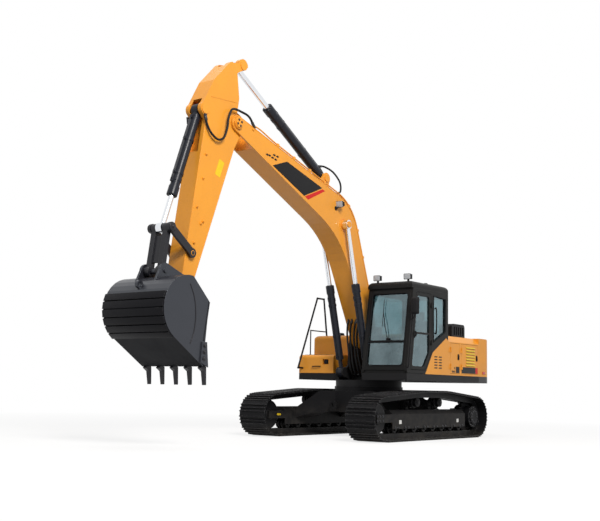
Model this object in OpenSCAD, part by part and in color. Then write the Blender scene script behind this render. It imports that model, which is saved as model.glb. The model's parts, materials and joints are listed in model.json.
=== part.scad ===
// Crawler excavator of the 23 tonne class, in millimetres.
// +X is forward along the tracks, +Y is to the operator's left and +Z is up.
// The origin lies on the ground, under the middle of the whole machine at rest.

/* [Tracks] */
// Distance between the middles of the two tracks
track_gauge = 2380; // [2200:10:2600]
// Width of a track shoe
shoe_w = 600; // [500:10:700]
// Distance between idler and sprocket axles
tumbler_dist = 3450; // [3200:10:3700]
// Radius of the chain's pin line on idler and sprocket
pitch_r = 315; // [290:1:340]
// Wanted length of one shoe along the chain
shoe_pitch = 190; // [171:1:216]
// Height from the pin line to the inner face of the shoes
link_out = 45; // [40:1:50]
// Height from the pin line to the face that the rollers run on
link_in = 50; // [44:1:54]
// Thickness of a shoe's plate
shoe_t = 15; // [10:1:20]
// Height of the grousers on a shoe
grouser_h = 25; // [15:1:35]
// Width of each of the two chain rails
rail_w = 60; // [50:1:66]
// Gap between the two chain rails
rail_gap = 110; // [100:1:120]
// Height of the carrier rollers' axles
carrier_z = 680; // [660:1:700]
// Radius of the carrier rollers
carrier_r = 85; // [75:1:95]
// Place of the front carrier roller ahead of the swing axis
carrier_front = 350; // [300:10:420]
// Place of the rear carrier roller behind the swing axis
carrier_rear = 480; // [420:10:540]
// Radius of the lower rollers
roller_r = 80; // [72:1:84]
// Number of lower rollers on a side
roller_n = 8; // [6:1:9]
// Width of a track frame
frame_w = 330; // [310:2:360]
// Height of a track frame's lower edge
frame_z = 215; // [200:1:225]

/* [Car body] */
// Outer radius of the swing ring
ring_r = 640; // [600:5:680]
// Height of the split between fixed and turning halves of the ring
ring_z = 950; // [930:1:970]
// Thickness of the fixed half of the swing ring
ring_t = 90; // [70:1:110]
// Radius of the holes in the lashing eyes
lashing_r = 35; // [25:1:40]

/* [House] */
// Width of the house
house_w = 2728; // [2600:2:2800]
// Height of the underside of the deck
deck_z = 1070; // [1040:1:1090]
// Depth of the deck and its skirt
deck_h = 130; // [110:1:150]
// Radius of the tail about the swing axis
tail_r = 2850; // [2750:10:2950]
// Radius of the counterweight's corners in plan
tail_corner_r = 350; // [250:10:420]
// Height of the top of the engine housing
hood_z = 1965; // [1900:5:2050]
// Distance from the swing axis back to the counterweight
cw_x = 1990; // [1930:10:2060]
// Distance from the swing axis back to the engine housing
bay_x = 720; // [700:5:760]
// Thickness of the sheet walls with their stiffeners
panel_t = 40; // [30:1:46]
// Gap round doors and lids
door_gap = 6; // [5:0.5:8]

/* [Cab] */
// Width of the cab
cab_w = 964; // [930:2:974]
// Thickness of the cab's walls
cab_wall = 50; // [40:1:60]
// Height of the roof's lower edge
roof_z = 2770; // [2700:5:2820]
// Rise of the roof's crown
roof_h = 130; // [100:5:160]
// Thickness of the glass
glass_t = 6; // [5:1:10]

/* [Boom] */
// Length of the boom between foot pin and arm pin
boom_len = 5337; // [5200:1:5450]
// Angle of the boom at rest, from level
boom_angle = 38.6; // [36:0.1:41]
// Height of the boom's foot pin
foot_z = 1850; // [1800:5:1900]
// Width of the boom
boom_w = 410; // [390:2:420]
// Thickness of the plates of boom and arm
plate_t = 14; // [10:1:20]
// Radius of the large pins
pin_r = 50; // [40:1:55]
// Radial clearance of the pins
pin_play = 0.3; // [0.2:0.05:0.6]

/* [Arm and bucket] */
// Length of the arm between arm pin and bucket pin
arm_len = 2970; // [2850:1:3100]
// Angle of the arm at rest, below level
arm_angle = 69.5; // [66:0.1:73]
// Width of the arm
arm_w = 330; // [310:2:336]
// Width of the bucket
bucket_w = 1270; // [1100:10:1400]
// Radius of the bucket's rolled back
bucket_r = 500; // [460:5:520]
// Thickness of the bucket's plates
bucket_t = 25; // [18:1:32]
// Number of teeth
tooth_n = 5; // [4:1:6]
// Radius of the hole in the bucket's lifting eye
lift_r = 25; // [20:1:30]

/* [Cylinders] */
// Outer radius of the boom cylinders' tubes
boom_tube_r = 70; // [62:1:72]
// Radius of the boom cylinders' rods
boom_rod_r = 42; // [36:1:46]
// Distance of the boom cylinders from the middle
boom_cyl_y = 295; // [292:1:300]
// Outer radius of the arm cylinder's tube
arm_tube_r = 85; // [75:1:90]
// Radius of the arm cylinder's rod
arm_rod_r = 50; // [42:1:54]
// Outer radius of the bucket cylinder's tube
bucket_tube_r = 75; // [66:1:80]
// Radius of the bucket cylinder's rod
bucket_rod_r = 42; // [36:1:46]

/* [Hidden] */
$fn = 48;

// Colours
amber = [1.0, 0.62, 0.13];
charcoal = [0.2, 0.2, 0.22];
black = [0.07, 0.07, 0.08];
cab_grey = [0.26, 0.25, 0.26];
chrome = [0.8, 0.82, 0.84];
tint = [0.45, 0.62, 0.66, 0.4];

// Seat clearance between pieces of one body, and running gap between bodies
fit = 0.2;
run = 0.5;

// Undercarriage places
tread_h = link_out + shoe_t + grouser_h;
tumbler_z = pitch_r + tread_h;
track_y = track_gauge / 2;
rail_y = rail_gap / 2;
rail_top = tread_h + link_in;
rail_far = rail_y + rail_w;
roller_z = rail_top + roller_r;
frame_y = frame_w / 2;
frame_wall = 15;
frame_top = 545;
frame_shoulder = 470;
frame_front = tumbler_dist / 2 - 420;
frame_rear = -tumbler_dist / 2 + 330;
yoke_z = [tumbler_z - 70, tumbler_z + 70];
axle_r = 45;

// House places
deck_top = deck_z + deck_h;
house_y = house_w / 2;
deck_front_left = 850;
deck_front_right = 450;
slot_y = 398;
slot_x = 250;
bracket_y = [boom_w / 2 + 10, boom_w / 2 + 43];
lug_y = [boom_cyl_y + 47, boom_cyl_y + 77];
shoulder = 120;
// Extra radius of a rail's knuckles
knuckle = 3;

// Hinges of doors and lids
hinge_r = 12;
hinge_out = 14;
hinge_pin_r = 6;
hinge_h = 50;
leaf_t = 8;
leaf_w = 60;
leaf_pad = 12;

// Tank beside the boom
tank_y = 500;
tank_x = -50;
tank_edge = 50;

// Cab places
cab_y0 = house_y - cab_w;
cab_y1 = house_y;
cab_base = deck_top + 5;
cab_rear = -bay_x + 25;
cab_nose = 850;
cab_sill = 1330;
cab_brow = 630;

// Boom, arm and bucket pins in side view, as [x, z]
function spin(v, a) = [v[0] * cos(a) - v[1] * sin(a), v[0] * sin(a) + v[1] * cos(a)];
foot = [150, foot_z];
boom_base = [500, deck_top + 20];
tip = foot + spin([boom_len, 0], boom_angle);
knee_top = [2190, 1465];
knee_low = [2093, 714];
boom_lug = [2160, 950];
arm_base = [3000, 1340];
arm_eye = [-1010, 220];
bucket_base = [190, 720];
guide_pin = [arm_len - 500, 120];
bucket_pin = tip + spin([arm_len, 0], -arm_angle);
link_top = [400, 850];
link_low = [500, 180];
function on_boom(p) = foot + spin(p, boom_angle);
function on_arm(p) = tip + spin(p, -arm_angle);
function on_bucket(p) = bucket_pin + p;

// The bucket's rolled back and its lip, from the bucket pin
roll_c = [420, -400];
lip = [75, -1220];
mouth = [-20, -250];
tooth_tip = [-30, -1490];

// Middle of the machine's length, which the origin lies under
strip_t = 12;
front_x = bucket_pin[0] + roll_c[0] + bucket_r + strip_t;
mid_x = (front_x - tail_r) / 2;

// Plane geometry
function unit(v) = v / norm(v);
function left_of(v) = [-v[1], v[0]];
function arc(c, r, a0, a1, n) = [for (i = [0:n]) c + r * [cos(a0 + (a1 - a0) * i / n), sin(a0 + (a1 - a0)
    * i / n)]];
function wrap(a) = a > 180 ? a - 360 : a < -180 ? a + 360 : a;
// Points of a corner at b, rounded to radius r
function corner(a, b, c, r, n) =
  let (u = unit(a - b), w = unit(c - b), h = acos(u * w) / 2, m = b + unit(u + w) * r / sin(h))
  let (p = b + u * r / tan(h) - m, q = b + w * r / tan(h) - m, a0 = atan2(p[1], p[0]))
  arc(m, r, a0, a0 + wrap(atan2(q[1], q[0]) - a0), n);
// An outline with every corner rounded
function rounded(p, r, n = 3) =
  [for (i = [0:len(p) - 1]) each corner(p[(i + len(p) - 1) % len(p)], p[i], p[(i + 1) % len(p)], r, n)];
// A counter-clockwise outline moved inwards by d
function inset(p, d) = [for (i = [0:len(p) - 1])
  let (a = p[(i + len(p) - 1) % len(p)], b = p[i], c = p[(i + 1) % len(p)])
  let (u = left_of(unit(b - a)), w = left_of(unit(c - b))) b + d * (u + w) / (1 + u * w)];
// Angle on a circle of radius r at the origin where a line from p touches it
function touch(p, r, side) = atan2(p[1], p[0]) + side * acos(r / norm(p));

// Draws at the origin's place under the middle of the machine
module in_place() {
  translate([-mid_x, 0, 0]) children();
}

// A side view outline as a slab between two Y planes
module slab(y0, y1) {
  translate([0, y1, 0]) rotate([90, 0, 0]) linear_extrude(y1 - y0) children();
}

// A front view outline, in Y and Z, as a bar between two X planes
module bar(x0, x1) {
  translate([x0, 0, 0]) rotate([90, 0, 90]) linear_extrude(x1 - x0) children();
}

module box(x, y, z) {
  translate([x[0], y[0], z[0]]) cube([x[1] - x[0], y[1] - y[0], z[1] - z[0]]);
}

// A round bar across the machine at a point of the side view
module cross(p, r, y0, y1) {
  translate([p[0], y1, p[1]]) rotate([90, 0, 0]) cylinder(r = r, h = y1 - y0);
}

// The same shape on the left and on the right
module both_sides() {
  children();
  mirror([0, 1, 0]) children();
}

// A round tube through side view points, with a welded knuckle at each corner
module rail(points, y, r) {
  for (i = [0:len(points) - 2]) {
    v = points[i + 1] - points[i];
    translate([points[i][0], y, points[i][1]]) rotate([0, 90 - atan2(v[1], v[0]), 0]) rotate(35)
      cylinder(r = r, h = norm(v));
  }
  for (i = [1:1:len(points) - 2]) translate([points[i][0], y, points[i][1]]) sphere(r = r + knuckle);
}

// Frames of boom, arm and bucket: X along the piece, Z to its upper or front side
module boom_frame() {
  translate([foot[0], 0, foot[1]]) rotate([0, -boom_angle, 0]) children();
}

module arm_frame() {
  translate([tip[0], 0, tip[1]]) rotate([0, arm_angle, 0]) children();
}

module bucket_frame() {
  translate([bucket_pin[0], 0, bucket_pin[1]]) children();
}

// Places the frame of a cylinder that runs from pin a to pin b
module cylinder_frame(a, b) {
  d = b - a;
  translate([a[0], 0, a[1]]) rotate([0, -atan2(d[1], d[0]), 0]) children();
}

// Track chain

// Wheels that the chain runs round, in order: [x, z, radius of the pin line]
wheels = [[-tumbler_dist / 2, tumbler_z, pitch_r], [tumbler_dist / 2, tumbler_z, pitch_r],
  [carrier_front, carrier_z, carrier_r + link_in], [-carrier_rear, carrier_z, carrier_r + link_in]];
function hub(i) = [wheels[i % 4][0], wheels[i % 4][1]];
function span(i) = hub(i + 1) - hub(i);
// Direction of the outer normal on the straight run that follows wheel i
function run_angle(i) =
  let (d = span(i % 4), drop = wheels[i % 4][2] - wheels[(i + 1) % 4][2])
  let (a = atan2(d[1], d[0]) - 90 + asin(drop / norm(d))) a < -91 ? a + 360 : a;
function run_len(i) = let (d = norm(span(i)), drop = wheels[i][2] - wheels[(i + 1) % 4][2])
    sqrt(d * d - drop * drop);
function turn_from(i) = i == 0 ? run_angle(3) - 360 : run_angle(i - 1);
function turn_len(i) = wheels[i][2] * (run_angle(i) - turn_from(i)) * PI / 180;
chain_len = run_len(0) + run_len(1) + run_len(2) + run_len(3) + turn_len(0) + turn_len(1) + turn_len(2)
    + turn_len(3);
// Point of the pin line, moved out by v, at a distance along the chain from the start of wheel i
function chain_at(s, v, i = 0) =
  s <= turn_len(i) || i > 3 ? let (a = turn_from(i) + s / wheels[i][2] * 180 / PI) hub(i)
      + (wheels[i][2] + v) * [cos(a), sin(a)]
  : s <= turn_len(i) + run_len(i) || i == 3
    ? let (a = run_angle(i)) hub(i) + (wheels[i][2] + v) * [cos(a), sin(a)] + (s - turn_len(i))
        * [-sin(a), cos(a)]
  : chain_at(s - turn_len(i) - run_len(i), v, i + 1);
shoe_n = round(chain_len / shoe_pitch);
shoe_len = chain_len / shoe_n;
// One grouser's outline on a shoe: distance along the shoe and height
grouser = [[-17, 0], [-7, grouser_h], [7, grouser_h], [17, 0]];
function shoe_points(i) =
  let (a = chain_at(i * shoe_len, 0), b = chain_at((i + 1) % shoe_n * shoe_len, 0), u = unit(b - a),
      w = [u[1], -u[0]])
  [for (k = [0:2]) for (g = grouser) a + u * (shoe_len * (k + 0.5) / 3 + g[0])
      + w * (link_out + shoe_t + g[1])];
tread_line = [for (i = [0:shoe_n - 1]) each shoe_points(i)];
// The pin line moved out by v, with points on the round stretches only
function chain_line(v, n) = [for (i = [0:3]) let (m = i < 2 ? n : 2) for (k = [0:m])
  let (a = turn_from(i) + (run_angle(i) - turn_from(i)) * k / m) hub(i) + (wheels[i][2] + v) * [cos(a),
      sin(a)]];

// Straight pieces that the chain's inner faces have on a half turn
turn_n = 10;

module track() {
  color(black) {
    slab(-shoe_w / 2, shoe_w / 2) difference() {
      polygon(tread_line);
      polygon(chain_line(link_out, turn_n));
    }
    both_sides() slab(rail_y, rail_far) difference() {
      polygon(chain_line(link_out, turn_n));
      polygon(chain_line(-link_in, turn_n));
    }
  }
}

module track_left() {
  translate([0, track_y, 0]) track();
}

module track_right() {
  translate([0, -track_y, 0]) track();
}

// Frame of one track, with its outer side at +Y
module track_frame() {
  frame_outline = [[-frame_y, frame_z], [-frame_y + frame_wall, frame_z], [-frame_y + frame_wall,
      roller_z + roller_r + 25],
    [frame_y - frame_wall, roller_z + roller_r + 25], [frame_y - frame_wall, frame_z], [frame_y, frame_z],
    [frame_y, frame_shoulder], [frame_y - 75, frame_top], [75 - frame_y, frame_top], [-frame_y,
        frame_shoulder]];
  color(charcoal) {
    bar(frame_rear, frame_front) polygon(frame_outline);
    // Yoke that carries the idler's axle
    both_sides() box([frame_front, tumbler_dist / 2 + axle_r + 30], [rail_far + 10, frame_y], yoke_z);
    // Plate that carries the final drive
    slab(-frame_y, -rail_far - 5) union() {
      translate([-tumbler_dist / 2, tumbler_z]) circle(r = 230);
      translate([-tumbler_dist / 2, tumbler_z - 160]) square([frame_rear + tumbler_dist / 2, 320]);
    }
    // Posts that carry the carrier rollers
    for (x = [carrier_front, -carrier_rear])
      box([x - 45, x + 45], [-frame_y, -rail_far - 5], [frame_shoulder - 5, carrier_z + 45]);
  }
}

module track_frame_left() {
  translate([0, track_y, 0]) track_frame();
}

module track_frame_right() {
  mirror([0, 1, 0]) translate([0, track_y, 0]) track_frame();
}

module on_tracks() {
  both_sides() translate([0, track_y, 0]) children();
}

module idlers() {
  tread_r = (pitch_r - link_in) * cos(90 / turn_n) - fit;
  color(black) on_tracks() translate([tumbler_dist / 2, 0, tumbler_z]) rotate([90, 0, 0]) rotate_extrude()
    polygon([[0, -rail_far - 10 + fit], [axle_r + 40, -rail_far - 10 + fit], [axle_r + 60, -rail_far + 5],
      [tread_r, -rail_far + 5], [tread_r, -rail_y + 12], [pitch_r - 12,
          -rail_y + 22],
      [pitch_r - 12, rail_y - 22], [tread_r, rail_y - 12], [tread_r,
          rail_far - 5],
      [axle_r + 60, rail_far - 5], [axle_r + 40, rail_far + 10 - fit], [0, rail_far + 10 - fit]]);
}

tooth_count = round(2 * PI * pitch_r / shoe_len * 2);
module sprockets() {
  valley_r = pitch_r - 22;
  crown_r = pitch_r + 14;
  step = 360 / tooth_count;
  teeth = [for (i = [0:tooth_count - 1]) for (t = [[-0.5, valley_r], [-0.3, valley_r], [-0.12, crown_r],
      [0.12, crown_r], [0.3, valley_r]])
    t[1] * [cos((i + t[0]) * step), sin((i + t[0]) * step)]];
  color(black) on_tracks() translate([-tumbler_dist / 2, 0, tumbler_z]) {
    slab(-28, 28) polygon(teeth);
    // Drum of the final drive
    rotate([90, 0, 0]) translate([0, 0, -rail_far - 60]) cylinder(r = 205, h = 2 * rail_far + 65 - fit);
    rotate([90, 0, 0]) translate([0, 0, -rail_far - 85]) cylinder(r = 150, h = 30);
  }
}

// A roller on its own axle, middle at the origin, axle along Y
module roller(r, reach) {
  rotate([90, 0, 0]) rotate_extrude() polygon([[0, -reach], [32, -reach], [32, -rail_far - 4], [r - 14,
      -rail_far - 4],
    [r - fit, -rail_far + 4], [r - fit, -rail_y + 8], [r + 22, -rail_y + 14], [r + 22, -rail_y + 34],
        [r - 10, -rail_y + 40],
    [r - 10, rail_y - 40], [r + 22, rail_y - 34], [r + 22, rail_y - 14], [r - fit, rail_y - 8],
    [r - fit, rail_far - 4], [r - 14, rail_far + 4], [32, rail_far + 4], [32, reach], [0, reach]]);
}

module track_rollers() {
  first = frame_rear + 165;
  last = frame_front - 140;
  color(black) on_tracks() for (i = [0:roller_n - 1])
    translate([first + (last - first) * i / (roller_n - 1), 0, roller_z]) roller(roller_r,
        frame_y - frame_wall - fit);
}

module carrier_rollers() {
  color(black) on_tracks() for (x = [carrier_front, -carrier_rear])
    translate([x, 0, carrier_z]) roller(carrier_r, rail_far + 5 - fit);
}

// Car body

// Lashing eyes: plates across the machine on tongues at the car body's ends
eye_x = [760, 810];
eye_y = 280;
eye_z = 590;
eye_r = 80;
tongue_z = [480, 520];
tongue_half = 60;

// The same shape at the front and at the rear
module both_ends() {
  children();
  mirror([1, 0, 0]) children();
}

module car_body() {
  inner_y = track_y - frame_y;
  half = [[660, 330], [980, inner_y], [520, inner_y], [200, 520], [-200, 520], [-520, inner_y], [-980,
      inner_y], [-660, 330]];
  plan = concat(half, [for (i = [len(half) - 1:-1:0]) [half[i][0], -half[i][1]]]);
  color(charcoal) difference() {
    union() {
      intersection() {
        translate([0, 0, 300]) linear_extrude(700) polygon(plan);
        bar(-1000, 1000) polygon([[-inner_y, 330], [-700, 460], [700, 460], [inner_y, 330],
          [inner_y, 530], [600, ring_z - ring_t], [-600, ring_z - ring_t], [-inner_y, 530]]);
      }
      translate([0, 0, 460]) cylinder(r = ring_r - 20, h = ring_z - ring_t - 460);
      both_ends() both_sides() {
        box([600, eye_x[0] + 10], [eye_y - tongue_half, eye_y + tongue_half], tongue_z);
        bar(eye_x[0], eye_x[1]) union() {
          translate([eye_y, eye_z]) circle(r = eye_r);
          translate([eye_y - eye_r + 6, tongue_z[0]]) square([2 * eye_r - 12, eye_z - tongue_z[0]]);
        }
      }
    }
    both_ends() both_sides() translate([eye_x[0] - 1, eye_y, eye_z]) rotate([0, 90, 0])
      cylinder(r = lashing_r, h = eye_x[1] - eye_x[0] + 2);
  }
}

module swing_ring() {
  color(black) translate([0, 0, ring_z - ring_t]) difference() {
    cylinder(r = ring_r + 20, h = ring_t);
    translate([0, 0, -1]) cylinder(r = ring_r - 160, h = ring_t + 2);
  }
}

// House

module boom_bracket() {
  front = foot[0] + 175;
  union() {
    translate(foot) circle(r = 175);
    translate(boom_base) circle(r = 95);
    polygon([[5 - bay_x, deck_top], [5 - bay_x, deck_top + 120], [-250, deck_top + 330],
      [foot[0] - 150, foot[1] + 90], [front, foot[1]], [front + 60, boom_base[1] + 130],
      [boom_base[0] - 40, boom_base[1] + 88],
      [boom_base[0], boom_base[1] - 95], [slot_x, deck_z], [slot_x - 60, deck_z]]);
  }
}

module revolving_frame() {
  plan = [[-cw_x, -house_y], [deck_front_right, -house_y], [deck_front_right, -slot_y], [slot_x,
      -slot_y], [slot_x, slot_y],
    [deck_front_left, slot_y], [deck_front_left, house_y], [-cw_x, house_y]];
  beam = bracket_y[1] + 15;
  color(charcoal) difference() {
    union() {
      difference() {
        translate([0, 0, deck_z]) linear_extrude(deck_h) polygon(plan);
        // Pockets under the deck plate, round the swing ring's seat
        difference() {
          translate([0, 0, deck_z - 1]) linear_extrude(deck_h - 29) union() {
            translate([-cw_x + panel_t, -house_y + panel_t])
                square([cw_x + deck_front_right - 2 * panel_t, house_y - panel_t - beam]);
            translate([-cw_x + panel_t, beam]) square([cw_x + slot_x - 2 * panel_t,
                house_y - panel_t - beam]);
            translate([slot_x - 2 * panel_t, slot_y + panel_t])
                square([deck_front_left - slot_x + panel_t, house_y - slot_y - 2 * panel_t]);
            translate([-cw_x + panel_t, -beam + 80]) square([cw_x - ring_r, 2 * beam - 160]);
          }
          translate([0, 0, deck_z - 2]) cylinder(r = ring_r + 60, h = deck_h);
        }
      }
      cross(foot, pin_r, -bracket_y[1] - 25, bracket_y[1] + 25);
      // Turning half of the swing ring
      translate([0, 0, ring_z + run]) cylinder(r = ring_r, h = deck_z - ring_z);
      both_sides() {
        slab(bracket_y[0], bracket_y[1]) boom_bracket();
        // Outer lug of the boom cylinder's pin
        slab(lug_y[0], lug_y[1]) union() {
          translate(boom_base) circle(r = 95);
          polygon([[slot_x - 100, deck_z], [boom_base[0], boom_base[1] - 95], boom_base,
              [boom_base[0] - 40, boom_base[1] + 80],
            [slot_x - 100, deck_top + 20]]);
        }
        cross(boom_base, 60, lug_y[1] - 5, lug_y[1] + 16);
        cross(foot, pin_r + 35, bracket_y[1] - 5, bracket_y[1] + 15);
      }
    }
    translate([0, 0, ring_z - 1]) cylinder(r = ring_r - 180, h = deck_z - ring_z - 30);
  }
}

// Half plan of the counterweight's tail, from the middle of the back to the left side
function tail_plan(r, y, c) =
  let (k = [-sqrt(pow(r - c, 2) - pow(y - c, 2)), y - c], a = atan2(k[1], -k[0]))
  concat(arc([0, 0], r, 180, 180 - a, 8), arc(k, c, 180 - a, 90, 8));

module counterweight() {
  half = tail_plan(tail_r, house_y, tail_corner_r);
  plan = concat(half, [[-cw_x, house_y], [-cw_x, -house_y]], [for (i = [len(half) - 1:-1:1]) [half[i][0],
      -half[i][1]]]);
  top = hood_z + 5;
  color(amber) difference() {
    intersection() {
      translate([0, 0, deck_z]) linear_extrude(top - deck_z) polygon(plan);
      rotate_extrude($fn = 96) polygon(concat([[0, deck_z], [tail_r - 60, deck_z], [tail_r, deck_z + 90]],
        corner([tail_r, deck_z + 90], [tail_r, top], [0, top], 160, 6), [[0, top]]));
    }
    // Lifting eyes
    both_sides() translate([-cw_x - 380, 620, top - 100]) cylinder(r = 30, h = 101);
  }
}

module engine() {
  color(charcoal) {
    box([-cw_x + 200, -bay_x - 330], [-420, 420], [deck_top, deck_top + 520]);
    box([-cw_x + 300, -bay_x - 430], [-250, 250], [deck_top + 520, deck_top + 620]);
  }
}

// Front view of the engine housing, moved in by d
function bay_outline(d) = inset([[-house_y, deck_top], [house_y, deck_top], [house_y, hood_z - shoulder],
  [house_y - shoulder, hood_z], [shoulder - house_y, hood_z], [-house_y, hood_z - shoulder]], d);

// Side view of each door: [x low, x high, z low, z high]
door_low = deck_top + 40;
door_top = hood_z - shoulder - 25;
door_post = [-1240, -1160];
left_front_door = [door_post[1], -bay_x - leaf_w - 10, door_low, door_top];
left_rear_door = [-cw_x + 45, door_post[0], door_low, door_top];
right_door_hole = [-cw_x + 80, -bay_x - 80, door_low, door_top];
hood_hole = [-cw_x + 90, -bay_x - 280];
hood_half = 720;

module hole_slab(d, y0, y1, grow) {
  box([d[0] - grow, d[1] + grow], [y0, y1], [d[2] - grow, d[3] + grow]);
}

module engine_housing() {
  color(amber) {
    difference() {
      bar(-cw_x, -bay_x) polygon(bay_outline(0));
      translate([0, 0, -panel_t - 1]) bar(-cw_x - 1, -bay_x - panel_t) polygon(bay_outline(panel_t));
      bar(-cw_x - 1, -bay_x - panel_t) polygon(bay_outline(panel_t));
      hole_slab(left_front_door, house_y - panel_t - 1, house_y + 1, door_gap);
      hole_slab(left_rear_door, house_y - panel_t - 1, house_y + 1, door_gap);
      hole_slab(right_door_hole, -house_y - 1, -house_y + panel_t + 1, door_gap);
      box([hood_hole[0] - door_gap, hood_hole[1] + door_gap], [-hood_half - door_gap, hood_half + door_gap],
        [hood_z - panel_t - 1, hood_z + 1]);
    }
    at_hinges(left_front_door, 1) frame_hinge();
    at_hinges(left_rear_door, 1) frame_hinge();
    at_hinges(right_door_hole, -1) frame_hinge();
    at_hood_hinges() frame_hinge();
  }
}

// Loose-pin hinge: its axis is local Z, the door lies on the +X side and the outer face at -hinge_out in Y
module hinge_leaf(z) {
  box([0, leaf_w], [1 - hinge_out, leaf_t - hinge_out], [z, z + hinge_h]);
  box([leaf_pad, leaf_w], [-hinge_out - 1, leaf_t - hinge_out], [z, z + hinge_h]);
}

module frame_hinge() {
  cylinder(r = hinge_r, h = hinge_h);
  cylinder(r = hinge_pin_r, h = 2 * hinge_h);
  mirror([1, 0, 0]) hinge_leaf(0);
}

module door_hinge() {
  difference() {
    union() {
      translate([0, 0, hinge_h + run]) cylinder(r = hinge_r, h = hinge_h);
      hinge_leaf(hinge_h + run);
    }
    cylinder(r = hinge_pin_r + pin_play, h = 3 * hinge_h);
  }
}

// Places of a side door's hinges, on the left (+1) or the right (-1) of the machine
module at_hinges(d, side) {
  for (z = [d[2] + 80, d[3] - 180])
    translate([d[1] + door_gap / 2, side * (house_y + hinge_out), z]) mirror([1, 0, 0])
      scale_side(side) children();
}

module scale_side(side) {
  if (side > 0) children();
  if (side < 0) mirror([0, 1, 0]) children();
}

// Places of the hood's hinges, with the axis across the machine
module at_hood_hinges() {
  for (y = [-500, 400]) translate([hood_hole[1] + door_gap / 2, y, hood_z + hinge_out]) rotate([90, 0,
      180]) children();
}

module side_door(d, side) {
  y = [house_y - panel_t, house_y];
  hole_slab(d, side > 0 ? y[0] : -y[1], side > 0 ? y[1] : -y[0], 0);
  at_hinges(d, side) door_hinge();
}

module left_door_front() {
  color(amber) side_door(left_front_door, 1);
}

module left_door_rear() {
  louvre_x = [-1800, -1440];
  color(amber) difference() {
    side_door(left_rear_door, 1);
    for (i = [0:6]) box(louvre_x, [house_y - panel_t - 1, house_y + 1], [door_low + 150 + i * 58,
        door_low + 180 + i * 58]);
  }
}

module right_door() {
  color(amber) difference() {
    side_door(right_door_hole, -1);
    for (i = [0:6]) box([-1780, -1380], [-house_y - 1, -house_y + panel_t + 1], [door_low + 150 + i * 58,
        door_low + 180 + i * 58]);
  }
}

module engine_hood() {
  color(amber) {
    box(hood_hole, [-hood_half, hood_half], [hood_z - panel_t, hood_z]);
    // Raised middle that clears the engine
    intersection() {
      bar(hood_hole[0] + 60, hood_hole[1] - 60) polygon([[60 - hood_half, hood_z - 1], [hood_half - 60,
          hood_z - 1],
        [hood_half - 140, hood_z + 80], [140 - hood_half, hood_z + 80]]);
      slab(-hood_half, hood_half) polygon([[hood_hole[0] + 60, hood_z - 1], [hood_hole[1] - 60, hood_z - 1],
        [hood_hole[1] - 160, hood_z + 80], [hood_hole[0] + 120, hood_z + 80]]);
    }
    at_hood_hinges() door_hinge();
  }
}

// Slatted intake box on the left of the hood
vent_x = [-cw_x + 10, -cw_x + 560];
vent_y = [hood_half + 40, hood_half + 330];
vent_top = hood_z + 285;
module hood_vent() {
  color(black) difference() {
    slab(vent_y[0], vent_y[1]) polygon(concat([[vent_x[0], hood_z], [vent_x[1], hood_z]],
      corner([vent_x[1], hood_z], [vent_x[1], vent_top], [vent_x[0], vent_top], 70, 5),
      corner([vent_x[1], vent_top], [vent_x[0], vent_top], [vent_x[0], hood_z], 70, 5)));
    for (i = [0:4]) box([vent_x[0] + 60 + i * 90, vent_x[0] + 110 + i * 90], [vent_y[0] - 1,
        vent_y[1] - 30], [hood_z + 60, vent_top - 60]);
    for (i = [0:4]) box([vent_x[0] + 60 + i * 90, vent_x[0] + 110 + i * 90], [vent_y[0] + 60,
        vent_y[1] + 1], [hood_z + 60, vent_top - 60]);
  }
}

// Outline of the cowl that closes the cab's lower rear corner
cowl_edge = [[180, deck_top], [-100, 1610], [-620, 1905], [-bay_x, hood_z - shoulder]];
module side_cowl() {
  color(amber) slab(house_y - cab_wall, house_y) polygon(concat([[-bay_x, deck_top]], cowl_edge));
}

module fuel_tank() {
  y = [-house_y, -tank_y];
  color(amber) {
    intersection() {
      bar(-bay_x, tank_x) polygon([[y[0], deck_top], [y[1], deck_top], [y[1], hood_z], [y[0] + tank_edge,
          hood_z], [y[0], hood_z - tank_edge]]);
      slab(y[0], y[1]) polygon(concat([[-bay_x, deck_top], [tank_x, deck_top]],
        corner([tank_x, deck_top], [tank_x, hood_z], [-bay_x, hood_z], 90, 6), [[-bay_x, hood_z]]));
    }
  }
}

box_top = 1560;
module toolbox() {
  y = [-house_y, -tank_y - 30];
  color(amber) difference() {
    slab(y[0], y[1]) polygon(concat([[tank_x, deck_top], [deck_front_right, deck_top]],
      corner([deck_front_right, deck_top], [deck_front_right, box_top], [tank_x, box_top], 70, 6),
          [[tank_x, box_top]]));
    // Recess for the lamp
    box([deck_front_right - 60, deck_front_right + 1], [y[1] - 260, y[1] - 120], [box_top - 190,
        box_top - 90]);
  }
}

rail_r = 18;
module handrail() {
  y = -house_y + tank_edge + 2 * rail_r;
  foot_x = deck_front_right + 150;
  foot_z = deck_top + 100;
  top_z = 2730;
  mid_z = hood_z + 95;
  back = [-240, -360];
  // The upright leans, so its end stands on its edge
  edge = rail_r * sin(atan2(back[0] - back[1], top_z - hood_z));
  // Upright's place at the height of the cross rail
  join_x = back[1] + (back[0] - back[1]) * (mid_z - hood_z) / (top_z - hood_z);
  color(black) {
    rail([[deck_front_right, foot_z], [foot_x, foot_z], [-10, top_z], [back[0], top_z],
      [back[1], hood_z + edge]], y, rail_r);
    rail([[200, box_top], [200, mid_z], [join_x + rail_r + 2, mid_z]], y, rail_r - 6);
  }
}

// Cab

// Side view of the cab's walls, from the deck to the roof's lower edge
cab_outline = [[cab_rear, cab_base], [cab_nose - 20, cab_base], [cab_nose, cab_base + 40], [cab_nose,
    cab_sill],
  [cab_brow, roof_z], [cab_rear, roof_z]];
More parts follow.
